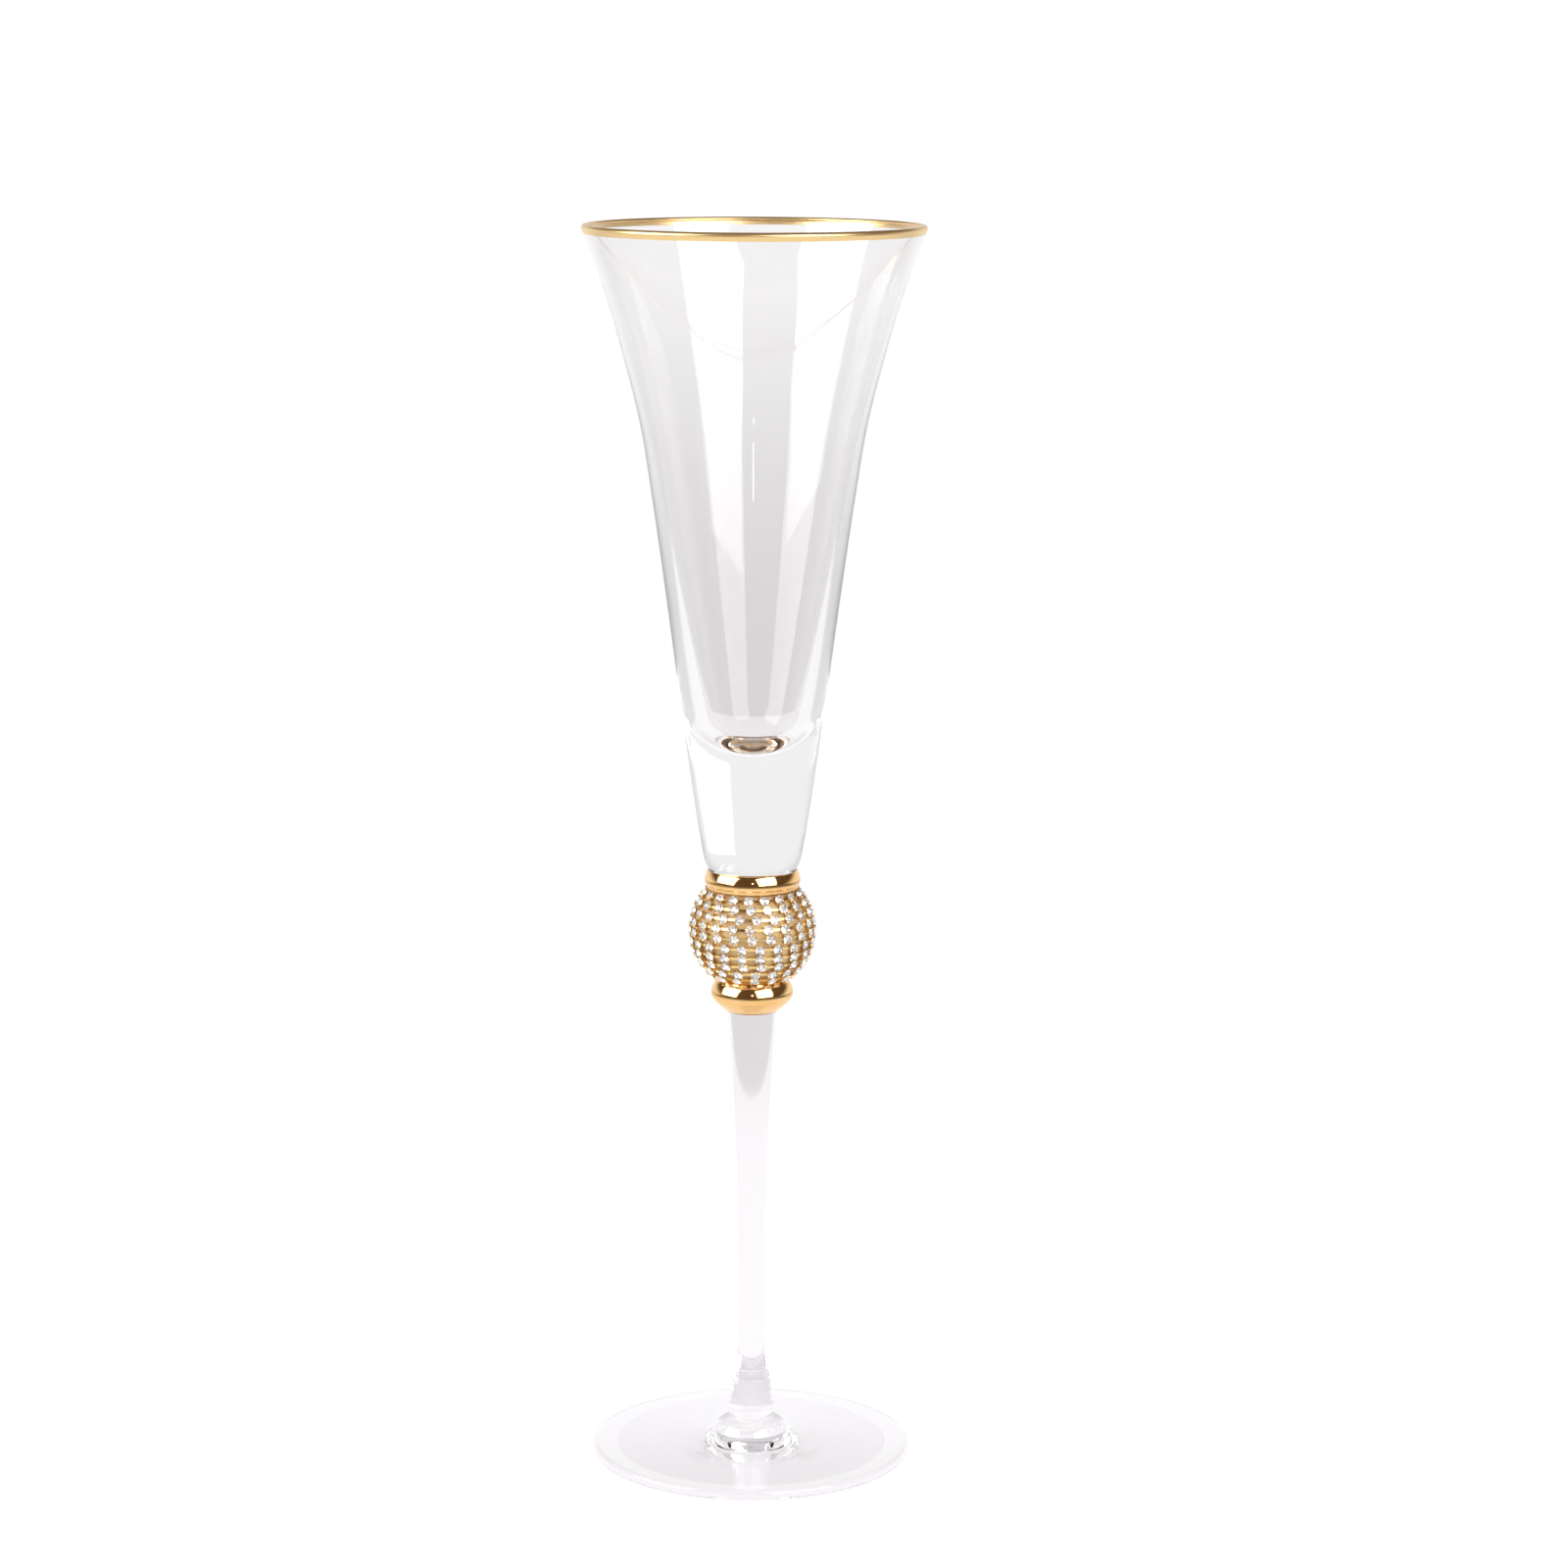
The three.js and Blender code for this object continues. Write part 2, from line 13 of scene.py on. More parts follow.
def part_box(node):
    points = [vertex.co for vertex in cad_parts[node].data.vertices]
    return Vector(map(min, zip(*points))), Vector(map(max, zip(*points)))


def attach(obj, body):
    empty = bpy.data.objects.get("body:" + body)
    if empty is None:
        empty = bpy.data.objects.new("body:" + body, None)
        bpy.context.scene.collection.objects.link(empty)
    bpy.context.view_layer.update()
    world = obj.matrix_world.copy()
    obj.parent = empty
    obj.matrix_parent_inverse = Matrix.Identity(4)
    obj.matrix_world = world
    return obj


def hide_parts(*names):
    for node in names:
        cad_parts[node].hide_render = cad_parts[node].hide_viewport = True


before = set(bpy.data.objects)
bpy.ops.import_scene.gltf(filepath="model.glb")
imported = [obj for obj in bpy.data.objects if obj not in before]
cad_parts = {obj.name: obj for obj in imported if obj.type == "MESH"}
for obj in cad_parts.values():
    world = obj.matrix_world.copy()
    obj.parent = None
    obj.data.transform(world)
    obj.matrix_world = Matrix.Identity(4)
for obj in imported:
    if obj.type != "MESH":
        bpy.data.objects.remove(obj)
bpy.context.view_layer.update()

bl_info = {
    "name": "Champagne Flute",
    "version": (1, 0, 0),
    "blender": (4, 5, 0),
    "location": "View3D > Sidebar > Flute",
    "description": "Builds a jewelled champagne flute round its packed frame, piece by piece",
    "category": "Object",
}

MM = 0.001
TAU = 2 * math.pi
ROW_NODES = sorted(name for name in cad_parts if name.startswith("chain_row_"))

# Frame levels, in millimetres
_, FOOT_HIGH = (np.array(corner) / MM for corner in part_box("foot"))
STEM_LOW, STEM_HIGH = (np.array(corner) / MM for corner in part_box("stem"))
LOWER_LOW, LOWER_HIGH = (np.array(corner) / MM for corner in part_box("lower_collar"))
UPPER_LOW, UPPER_HIGH = (np.array(corner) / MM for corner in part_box("upper_collar"))
SHELL_LOW, SHELL_HIGH = (np.array(corner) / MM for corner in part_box("upper_ball_shell"))
BOWL_LOW, BOWL_HIGH = (np.array(corner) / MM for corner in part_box("bowl"))
GLUE_LOW, GLUE_HIGH = (np.array(corner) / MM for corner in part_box("bowl_adhesive"))

# Ball: outside of its two shells, and the lap that joins them at the equator
BALL_RADIUS = SHELL_HIGH[0]
SHELL_WALL = 0.9
EQUATOR_LAP = 1.2
EQUATOR_GAP = 0.02
BALL_CENTRE = SHELL_LOW[2] + EQUATOR_LAP

# Collars: radii where they sit on the ball, of the edges next to the chain, and of the beads
UPPER_SEAT, UPPER_SKIRT, UPPER_BEAD = 8.7, 10.35, 10.8
LOWER_SEAT, LOWER_CROWN, LOWER_BEAD = 7.6, 8.05, 9.3
CROWN_DROP = 0.6  # from the lower seat down to the crown's edge
BEAD_CURVE = 4.8  # radius of both beads' bellies
SCREW_HOLE = 1.6
BORE_GAP = 0.12  # clearance of the bores round the bowl's plug and round the stem
FILM_LAP = 0.03  # how far an adhesive film is let into the plug's side
BED_LAP = 0.04  # how far the film under the plug is let into its end

# Gilding on the lip: its thickness, the gap to the glass, and its reach from the lip's two ends
GILDING, GILDING_GAP = 0.11, 0.004
GILDING_OUTSIDE, GILDING_INSIDE = 1.4, 1.0

# Chain: where it stands on the ball, and the share of a cup's height of girdles and links
CUP_LIFT = 0.05
GIRDLE_SHARE = 0.7
LINK_SHARE = 0.42
CUP_FOOT = 0.8  # foot of a cup as a share of its top
ROW_REACH = 1.05  # half the width of a row, along the ball
UPPER_GAP, LOWER_GAP = 0.16, 1.17  # from the end rows to the two collars
# Stones above or below the count that the pitch gives, and the turn of each row in degrees
ROW_EXTRA = [2, 1, 1, 0, 0, 0, 0, 0, 1, 0]
ROW_LEAD = [-4, -1, 5, -1.5, 0.5, 8, 8.4, 10, 4, 4]

# Share of the growth from neck to lip at a share of the height, and the lean of the wall at the lip
TRUMPET_HEIGHTS = [0, 0.078, 0.231, 0.434, 0.585, 0.685, 0.809, 0.908, 0.96, 1]
TRUMPET_GROWTHS = [0, 0.067, 0.18, 0.322, 0.434, 0.517, 0.674, 0.824, 0.921, 1]
TRUMPET = np.stack([TRUMPET_GROWTHS, TRUMPET_HEIGHTS], axis=1)
FLARE = 23  # degrees


# Settings
def length(name, description, millimetres):
    """A length property whose default is given in millimetres."""
    default = millimetres * MM
    return FloatProperty(name=name, description=description, default=default, unit="LENGTH", min=0.0)


def angle(name, description, degrees):
    """An angle property whose default is given in degrees."""
    return FloatProperty(name=name, description=description, default=math.radians(degrees), subtype="ANGLE")


def colour(name, description, default):
    """A linear RGB colour property."""
    return FloatVectorProperty(
        name=name, description=description, default=default, subtype="COLOR", size=3, min=0.0, max=1.0
    )


class FluteGlass(PropertyGroup):
    neck: length("Neck radius", "Outer radius where the bowl leaves its rounded shoulder", 11.2)
    plug: length("Plug radius", "Radius of the solid glass in the upper collar", 9.8)
    cavity_wall: length("Wall at the bottom", "Glass thickness where the cavity starts to close", 5.5)
    cavity_rise: length("Cavity height", "From the neck up to where the cavity starts to close", 31.4)
    lip: length("Lip radius", "Half the glass thickness at the rounded lip", 0.65)
    waist: length("Stem waist", "Radius at the narrowest place of the stem", 2.85)
    stem_top: length("Stem top", "Radius of the stem where it enters the collar", 5.35)
    stem_base: length("Stem base", "Radius of the stem where it meets the stub", 4.35)
    bowl_tint: colour("Bowl tint", "Colour of the bowl's glass at the lip", (0.972, 0.966, 0.968))
    bowl_deep: colour("Bowl depth", "Colour of the bowl's glass where it is thick", (0.885, 0.875, 0.882))
    foot_tint: colour("Foot tint", "Colour of the stem's and the foot's glass", (0.905, 0.885, 0.912))
    # Painted shade: the stem's glass is coloured darker near the collar
    stem_shade: colour("Stem depth", "Colour of the stem's glass near the collar", (0.85, 0.83, 0.85))
    index: FloatProperty(name="Refraction", description="Index of the glass", default=1.5, min=1.0)


class FluteMetal(PropertyGroup):
    gold: colour("Gold", "Colour of the polished plating", (0.96, 0.64, 0.3))
    deep_gold: colour("Deep gold", "Colour of the plating where it is thin or shaded", (0.88, 0.52, 0.2))
    satin: colour("Satin gold", "Colour of the ball behind the stones", (0.84, 0.62, 0.33))
    rim: colour("Rim gold", "Colour of the gilding on the lip", (1.0, 0.58, 0.22))
    polish: FloatProperty(name="Polish", description="Roughness of the plating", default=0.1, min=0.0)
    steel: colour("Steel", "Colour of the hidden fastening", (0.62, 0.63, 0.64))


class FluteStones(PropertyGroup):
    pitch: length("Chain pitch", "Spacing of the stones at their own height", 4.25)
    stone: length("Stone radius", "Radius of a stone at its girdle", 1.14)
    cup: length("Cup radius", "Outer radius of a cup at its top", 1.05)
    height: length("Cup height", "From the ball to the prongs' tips", 1.4)
    prong: length("Prong radius", "Half the thickness of a prong", 0.13)
    link: length("Link width", "Width of the bar that joins two cups", 0.56)
    facets: IntProperty(name="Facets", description="Main facets round a stone", default=8, min=6)


class FluteStudio(PropertyGroup):
    lens: FloatProperty(name="Lens", description="Focal length of the camera in mm", default=96.37)
    distance: length("Distance", "From the flute's axis to the camera", 925.9)
    height: length("Camera height", "Height of the camera over the table", 323.2)
    aside: length("Camera offset", "How far the camera stands to the right", 7.0)
    tilt: angle("Tilt", "How far the camera looks down", 10.266)
    roll: angle("Roll", "Turn about the view axis", 0.25)


# Outlines, in millimetres
def spline(points, count):
    """Cubic curve through the points: radius and height are each a Hermite cubic in the distance
    run along the points, with the slope at a point taken from its two neighbours."""
    points = np.array(points, float)
    run = np.concatenate([[0], np.cumsum(np.hypot(*np.diff(points, axis=0).T))])
    slope = np.gradient(points, run, axis=0)
    at = np.linspace(0, run[-1], count)
    i = np.clip(np.searchsorted(run, at, side="right") - 1, 0, len(run) - 2)
    span = (run[i + 1] - run[i])[:, None]
    t = (at[:, None] - run[i][:, None]) / span
    return (
        (2 * t**3 - 3 * t**2 + 1) * points[i]
        + (t**3 - 2 * t**2 + t) * span * slope[i]
        + (3 * t**2 - 2 * t**3) * points[i + 1]
        + (t**3 - t**2) * span * slope[i + 1]
    )


def arc(centre, size, start, end, count):
    """Points on a circle about a centre, at evenly spaced angles in degrees."""
    angle = np.radians(np.linspace(start, end, count))
    return np.array(centre) + size * np.stack([np.cos(angle), np.sin(angle)], axis=1)


def eased(points, size, count=5):
    """The outline with every inner corner rounded: the corner is replaced by a quadratic curve that
    leaves each side at most `size` away from the corner."""
    points = np.array(points, float)
    before, corner, after = points[:-2], points[1:-1], points[2:]
    back, on = before - corner, after - corner
    back_length = np.linalg.norm(back, axis=1)[:, None]
    on_length = np.linalg.norm(on, axis=1)[:, None]
    start = corner + back / back_length * np.minimum(size, back_length * 0.45)
    end = corner + on / on_length * np.minimum(size, on_length * 0.45)
    t = np.linspace(0, 1, count)[None, :, None]
    curve = (1 - t) ** 2 * start[:, None] + 2 * t * (1 - t) * corner[:, None] + t**2 * end[:, None]
    return np.concatenate([points[:1], curve.reshape(-1, 2), points[-1:]])


# Meshes
def finish_mesh(name, vertices, faces, materials, face_slots=None, smooth=True, sharp=40):
    """Puts arrays of vertices (millimetres) and faces into a new object at the origin, turns it face
    out by the sign of its volume, and gives it its materials."""
    vertices = np.asarray(vertices, float) * MM
    faces = [np.asarray(block, int) for block in faces]
    signed = 0.0
    for block in faces:
        a = vertices[block[:, 0]]
        for corner in range(1, block.shape[1] - 1):
            b, c = vertices[block[:, corner]], vertices[block[:, corner + 1]]
            signed += np.einsum("ij,ij->", a, np.cross(b, c))
    if signed < 0:
        faces = [block[:, ::-1] for block in faces]
    mesh = bpy.data.meshes.new(name)
    loops = np.concatenate([block.ravel() for block in faces])
    sizes = np.concatenate([np.full(len(block), block.shape[1]) for block in faces])
    mesh.vertices.add(len(vertices))
    mesh.vertices.foreach_set("co", vertices.ravel())
    mesh.loops.add(len(loops))
    mesh.loops.foreach_set("vertex_index", loops)
    mesh.polygons.add(len(sizes))
    mesh.polygons.foreach_set("loop_start", np.concatenate([[0], np.cumsum(sizes)[:-1]]))
    mesh.polygons.foreach_set("loop_total", sizes)
    for material in materials:
        mesh.materials.append(material)
    if face_slots is not None:
        mesh.polygons.foreach_set("material_index", np.asarray(face_slots, int))
    mesh.update(calc_edges=True)
    mesh.validate()
    mesh.polygons.foreach_set("use_smooth", np.full(len(mesh.polygons), smooth))
    if smooth:
        mesh.set_sharp_from_angle(angle=math.radians(sharp))
    piece = bpy.data.objects.new(name, mesh)
    bpy.context.scene.collection.objects.link(piece)
    return piece


def turned(name, outline, materials, segments=192, face_slot=None, sharp=40):
    """Surface of revolution: a point (radius, height) of the outline at turn t is (radius cos t,
    radius sin t, height). An outline that starts and ends on the axis is closed by a fan at each
    pole, and any other is closed on itself. face_slot gives a material number for each stretch."""
    outline = np.asarray(outline, float)
    keep = np.concatenate([[True], np.linalg.norm(np.diff(outline, axis=0), axis=1) > 1e-6])
    outline = outline[keep]
    poles = outline[0, 0] < 1e-9 and outline[-1, 0] < 1e-9
    rings = outline[1:-1] if poles else outline
    turn = np.arange(segments) * TAU / segments
    x = rings[:, :1] * np.cos(turn)
    y = rings[:, :1] * np.sin(turn)
    z = np.repeat(rings[:, 1:], segments, axis=1)
    vertices = np.stack([x, y, z], axis=2).reshape(-1, 3)
    ring = np.arange(len(rings) - 1 if poles else len(rings))[:, None]
    here = np.arange(segments)[None, :]
    there = (here + 1) % segments
    above = (ring + 1) % len(rings)
    low_ring, high_ring = ring * segments, above * segments
    quads = [low_ring + here, low_ring + there, high_ring + there, high_ring + here]
    faces = [np.stack(quads, axis=2).reshape(-1, 4)]
    if poles:
        low, high = len(vertices), len(vertices) + 1
        vertices = np.concatenate([vertices, [[0, 0, outline[0, 1]], [0, 0, outline[-1, 1]]]])
        around = np.arange(segments)
        ahead = (around + 1) % segments
        last = (len(rings) - 1) * segments
        faces.append(np.stack([np.full(segments, low), ahead, around], axis=1))
        faces.append(np.stack([np.full(segments, high), last + around, last + ahead], axis=1))
    slots = None
    if face_slot is not None:
        middle = (rings + np.roll(rings, -1, axis=0)) / 2
        if poles:
            middle = [*middle[:-1], outline[0], outline[-1]]
        slots = np.repeat([face_slot(r, h) for r, h in middle], segments)
    return finish_mesh(name, vertices, faces, materials, slots, sharp=sharp)


def fit(piece, slot, *nodes):
    """Rides the piece on the one rigid body and hides the solids it stands for; the finish it is given is
    not used.
    """
    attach(piece, "root")
    if nodes:
        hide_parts(*nodes)


# Shader groups
def new_group(name, inputs, outputs):
    """An empty shader group. An input's kind follows its default: none for a vector, a tuple for a
    colour, a number for a value. The output called Color is a colour, any other is a value."""
    tree = bpy.data.node_groups.new(name, "ShaderNodeTree")
    for label, default in inputs.items():
        kind = "Vector" if default is None else "Color" if isinstance(default, tuple) else "Float"
        socket = tree.interface.new_socket(name=label, in_out="INPUT", socket_type="NodeSocket" + kind)
        if default is not None:
            socket.default_value = default
    for label in outputs:
        kind = "Color" if label == "Color" else "Float"
        tree.interface.new_socket(name=label, in_out="OUTPUT", socket_type="NodeSocket" + kind)
    return tree, tree.nodes.new("NodeGroupInput"), tree.nodes.new("NodeGroupOutput")


def feed(tree, node, inputs):
    """Feeds each named input of a node with a plain value, or by a link from a socket."""
    for label, source in inputs.items():
        if isinstance(source, bpy.types.NodeSocket):
            tree.links.new(source, node.inputs[label])
        else:
            node.inputs[label].default_value = source


def add(tree, kind, inputs, **attributes):
    """A new shader node with its attributes set and its inputs fed."""
    node = tree.nodes.new("ShaderNode" + kind)
    for label, value in attributes.items():
        setattr(node, label, value)
    feed(tree, node, inputs)
    return node


def mixed(tree, factor, a, b):
    """The colour a where the factor is 0 and b where it is 1."""
    return add(tree, "Mix", {"Factor": factor, "A": a, "B": b}, data_type="RGBA").outputs["Result"]


def spread(tree, value, low, high, to=(0.0, 1.0), curve="LINEAR"):
    """The value carried from the range low to high over to another range, and clamped to it."""
    inputs = {"Value": value, "From Min": low, "From Max": high, "To Min": to[0], "To Max": to[1]}
    return add(tree, "MapRange", inputs, interpolation_type=curve).outputs["Result"]


def grey(tone):
    """A grey as a colour socket takes it."""
    return (tone, tone, tone, 1)


def polish_group():
    """Plating: fine scratches and soft clouds change the roughness, the colour and the height."""
    if "plating_polish" in bpy.data.node_groups:
        return bpy.data.node_groups["plating_polish"]
    inputs = {"Vector": None, "Bright": grey(1), "Deep": grey(1), "Smooth": 0.08, "Rough": 0.2}
    tree, source, out = new_group("plating_polish", inputs, ("Color", "Roughness", "Height"))
    given = source.outputs
    clouds = add(tree, "TexNoise", {"Vector": given["Vector"], "Scale": 180, "Detail": 3})
    grain = add(tree, "TexNoise", {"Vector": given["Vector"], "Scale": 1400, "Detail": 2})
    mask = spread(tree, clouds.outputs["Fac"], 0.35, 0.75)
    rough = spread(tree, grain.outputs["Fac"], 0.3, 0.7, (given["Smooth"], given["Rough"]))
    colour = mixed(tree, mask, given["Bright"], given["Deep"])
    feed(tree, out, {"Color": colour, "Roughness": rough, "Height": grain.outputs["Fac"]})
    return tree


def glass_group():
    """Blown glass: long soft waves run round and up the piece, and the tint deepens between two
    heights: in the bowl where the wall is thicker, and in the stem as painted shade towards the collar."""
    if "blown_glass" in bpy.data.node_groups:
        return bpy.data.node_groups["blown_glass"]
    tones = {"Tint": grey(1), "Deep": grey(1)}
    inputs = {"Vector": None, **tones, "Deep Height": 0.0, "Tint Height": 1.0}
    tree, source, out = new_group("blown_glass", inputs, ("Color", "Height"))
    given = source.outputs
    stretch = add(tree, "Mapping", {"Vector": given["Vector"], "Scale": (1, 1, 0.35)})
    waves = add(tree, "TexNoise", {"Vector": stretch.outputs["Vector"], "Scale": 28, "Detail": 1})
    height = add(tree, "SeparateXYZ", {"Vector": given["Vector"]}).outputs["Z"]
    level = spread(tree, height, given["Deep Height"], given["Tint Height"], curve="SMOOTHSTEP")
    colour = mixed(tree, level, given["Deep"], given["Tint"])
    feed(tree, out, {"Color": colour, "Height": waves.outputs["Fac"]})
    return tree


# Materials
def blank(name):
    """A new material's tree and shader, and a socket with its object coordinates."""
    material = bpy.data.materials.new(name)
    material.use_nodes = True
    tree = material.node_tree
    return material, tree, tree.nodes["Principled BSDF"], add(tree, "TexCoord", {}).outputs["Object"]


def grouped(name, group, values, looks, strength, depth):
    """A material whose colour, roughness and relief come from a shader group. The relief is a bump
    with a strength and a depth in millimetres, and looks are plain values of the shader."""
    if name in bpy.data.materials:
        return bpy.data.materials[name]
    material, tree, shader, place = blank(name)
    source = add(tree, "Group", {"Vector": place, **values}, node_tree=group)
    relief = {"Strength": strength, "Distance": depth * MM, "Height": source.outputs["Height"]}
    bump = add(tree, "Bump", relief)
    feed(tree, shader, {**looks, "Base Color": source.outputs["Color"], "Normal": bump.outputs["Normal"]})
    if "Roughness" in source.outputs:
        feed(tree, shader, {"Roughness": source.outputs["Roughness"]})
    return material


def glass(name, tint, index, wave=0.004, deep=None, levels=(0, 1)):
    """Clear polished glass with the faint waves of a blown piece, and a deeper tint below."""
    tones = {"Tint": (*tint, 1), "Deep": (*(deep or tint), 1)}
    heights = {"Deep Height": levels[0] * MM, "Tint Height": levels[1] * MM}
    looks = {"Metallic": 0, "Transmission Weight": 1, "Roughness": 0, "IOR": index}
    return grouped(name, glass_group(), {**tones, **heights}, looks, 0.25, wave)


def plating(name, bright, deep, smooth, rough, grain=0.003, metallic=1):
    """Metal plating with clouds of deeper colour and a fine grain."""
    values = {"Bright": (*bright, 1), "Deep": (*deep, 1), "Smooth": smooth, "Rough": rough}
    return grouped(name, polish_group(), values, {"Metallic": metallic}, 0.3, grain)


def darker(colour, share):
    """A share of a colour."""
    return tuple(share * part for part in colour)


def bonded():
    """The face where clear adhesive joins glass to glass: nothing of it can be seen."""
    material = glass("bonded_face", (0.97, 0.965, 0.95), 1.48)
    material.node_tree.nodes["Principled BSDF"].inputs["Alpha"].default_value = 0
    return material


def bowl_glass():
    """The bowl's glass, deeper in tint where it is thick."""
    look = bpy.context.scene.flute_glass
    levels = (BOWL_LOW[2] + 40, BOWL_HIGH[2])
    return glass("bowl_glass", look.bowl_tint, look.index, deep=tuple(look.bowl_deep), levels=levels)


def foot_glass():
    """The foot's glass."""
    look = bpy.context.scene.flute_glass
    return glass("foot_glass", look.foot_tint, look.index)


def edge_glass():
    """The foot's rounded edge, where the tint shows most."""
    return glass("foot_edge_glass", (0.84, 0.775, 0.845), bpy.context.scene.flute_glass.index)


def stem_glass():
    """The stem's glass, with painted shade: its tint deepens towards the collar."""
    look = bpy.context.scene.flute_glass
    # Painted shade: the deeper colour fills the top 12 mm of the stem, inside and under the collar, and
    # fades out 40 mm below its top
    levels = (STEM_HIGH[2] - 12, STEM_HIGH[2] - 40)
    return glass("stem_glass", look.foot_tint, look.index, deep=tuple(look.stem_shade), levels=levels)


def polished_gold():
    """Plating of both collars."""
    look = bpy.context.scene.flute_metal
    return plating("polished_gold", look.gold, look.deep_gold, look.polish * 0.4, look.polish * 1.2)


def satin_gold():
    """Dull gilding of the ball, behind the stones."""
    look = bpy.context.scene.flute_metal
    return plating("satin_gold", look.satin, darker(look.satin, 0.75), 0.75, 0.9, 0.02, 0.35)


def rim_gold():
    """Fired gold of the lip."""
    look = bpy.context.scene.flute_metal
    return plating("rim_gold", look.rim, darker(look.rim, 0.85), 0.02, 0.08)


def floor_gold():
    """Softer plating of the upper collar's floor."""
    return plating("floor_gold", (1.0, 0.7, 0.36), (0.92, 0.54, 0.24), 0.12, 0.3, 0.02)


def shaded_edge_gold():
    """Painted shade on the lower collar's bottom edge: darker plating that stands in for the shadow and
    dark reflection along it.
    """
    look = bpy.context.scene.flute_metal
    return plating("shaded_edge_gold", darker(look.deep_gold, 0.6), (0.4, 0.16, 0.1), 0.25, 0.4)


def cup_gold():
    """Pale plating of the cups and their links."""
    return plating("cup_gold", (0.92, 0.7, 0.32), (0.78, 0.55, 0.2), 0.15, 0.3)


def steel():
    """Steel of the hidden fastening."""
    look = bpy.context.scene.flute_metal
    return plating("plated_steel", look.steel, darker(look.steel, 0.7), 0.2, 0.35)


def stone_glass():
    """Clear crown of a stone."""
    return glass("stone_glass", (0.99, 0.985, 0.985), 1.56, 0.0)


def stone_foil():
    """Mirror foil on a stone's back."""
    return plating("stone_foil", (0.92, 0.9, 0.88), (0.75, 0.74, 0.76), 0.02, 0.08, 0.0)


def adhesive():
    """Clear set adhesive."""
    return glass("clear_adhesive", (0.97, 0.965, 0.95), 1.48, 0.01)


# Operators
class FLUTE_OT_camera(Operator):
    """Camera a little higher than the lip, looking slightly down at the flute"""

    bl_idname = "flute.camera"
    bl_label = "Camera"

    def execute(self, context):
        studio = context.scene.flute_studio
        data = bpy.data.cameras.new("camera")
        data.sensor_width = 36.0
        data.lens = studio.lens
        data.clip_start = 0.01
        camera = bpy.data.objects.new("camera", data)
        turn = Matrix.Rotation(math.pi / 2 - studio.tilt, 4, "X") @ Matrix.Rotation(studio.roll, 4, "Z")
        place = Matrix.Translation((studio.aside, -studio.distance, studio.height))
        camera.matrix_world = place @ turn
        context.scene.collection.objects.link(camera)
        context.scene.camera = camera
        return {"FINISHED"}


def softbox(name, azimuth, elevation, distance, width, height, power):
    """Area light that looks at the ball from an azimuth (0 in front, positive to the right)."""
    data = bpy.data.lights.new(name, "AREA")
    data.shape = "RECTANGLE"
    data.size, data.size_y = width, height
    data.energy = power
    light = bpy.data.objects.new(name, data)
    azimuth, elevation = math.radians(azimuth), math.radians(elevation)
    aim = Vector((0, 0, 0.14))
    flat = math.cos(elevation)
    way = Vector((math.sin(azimuth) * flat, -math.cos(azimuth) * flat, math.sin(elevation)))
    turn = way.to_track_quat("Z", "Y").to_matrix().to_4x4()
    light.matrix_world = Matrix.Translation(aim + way * distance) @ turn
    bpy.context.scene.collection.objects.link(light)


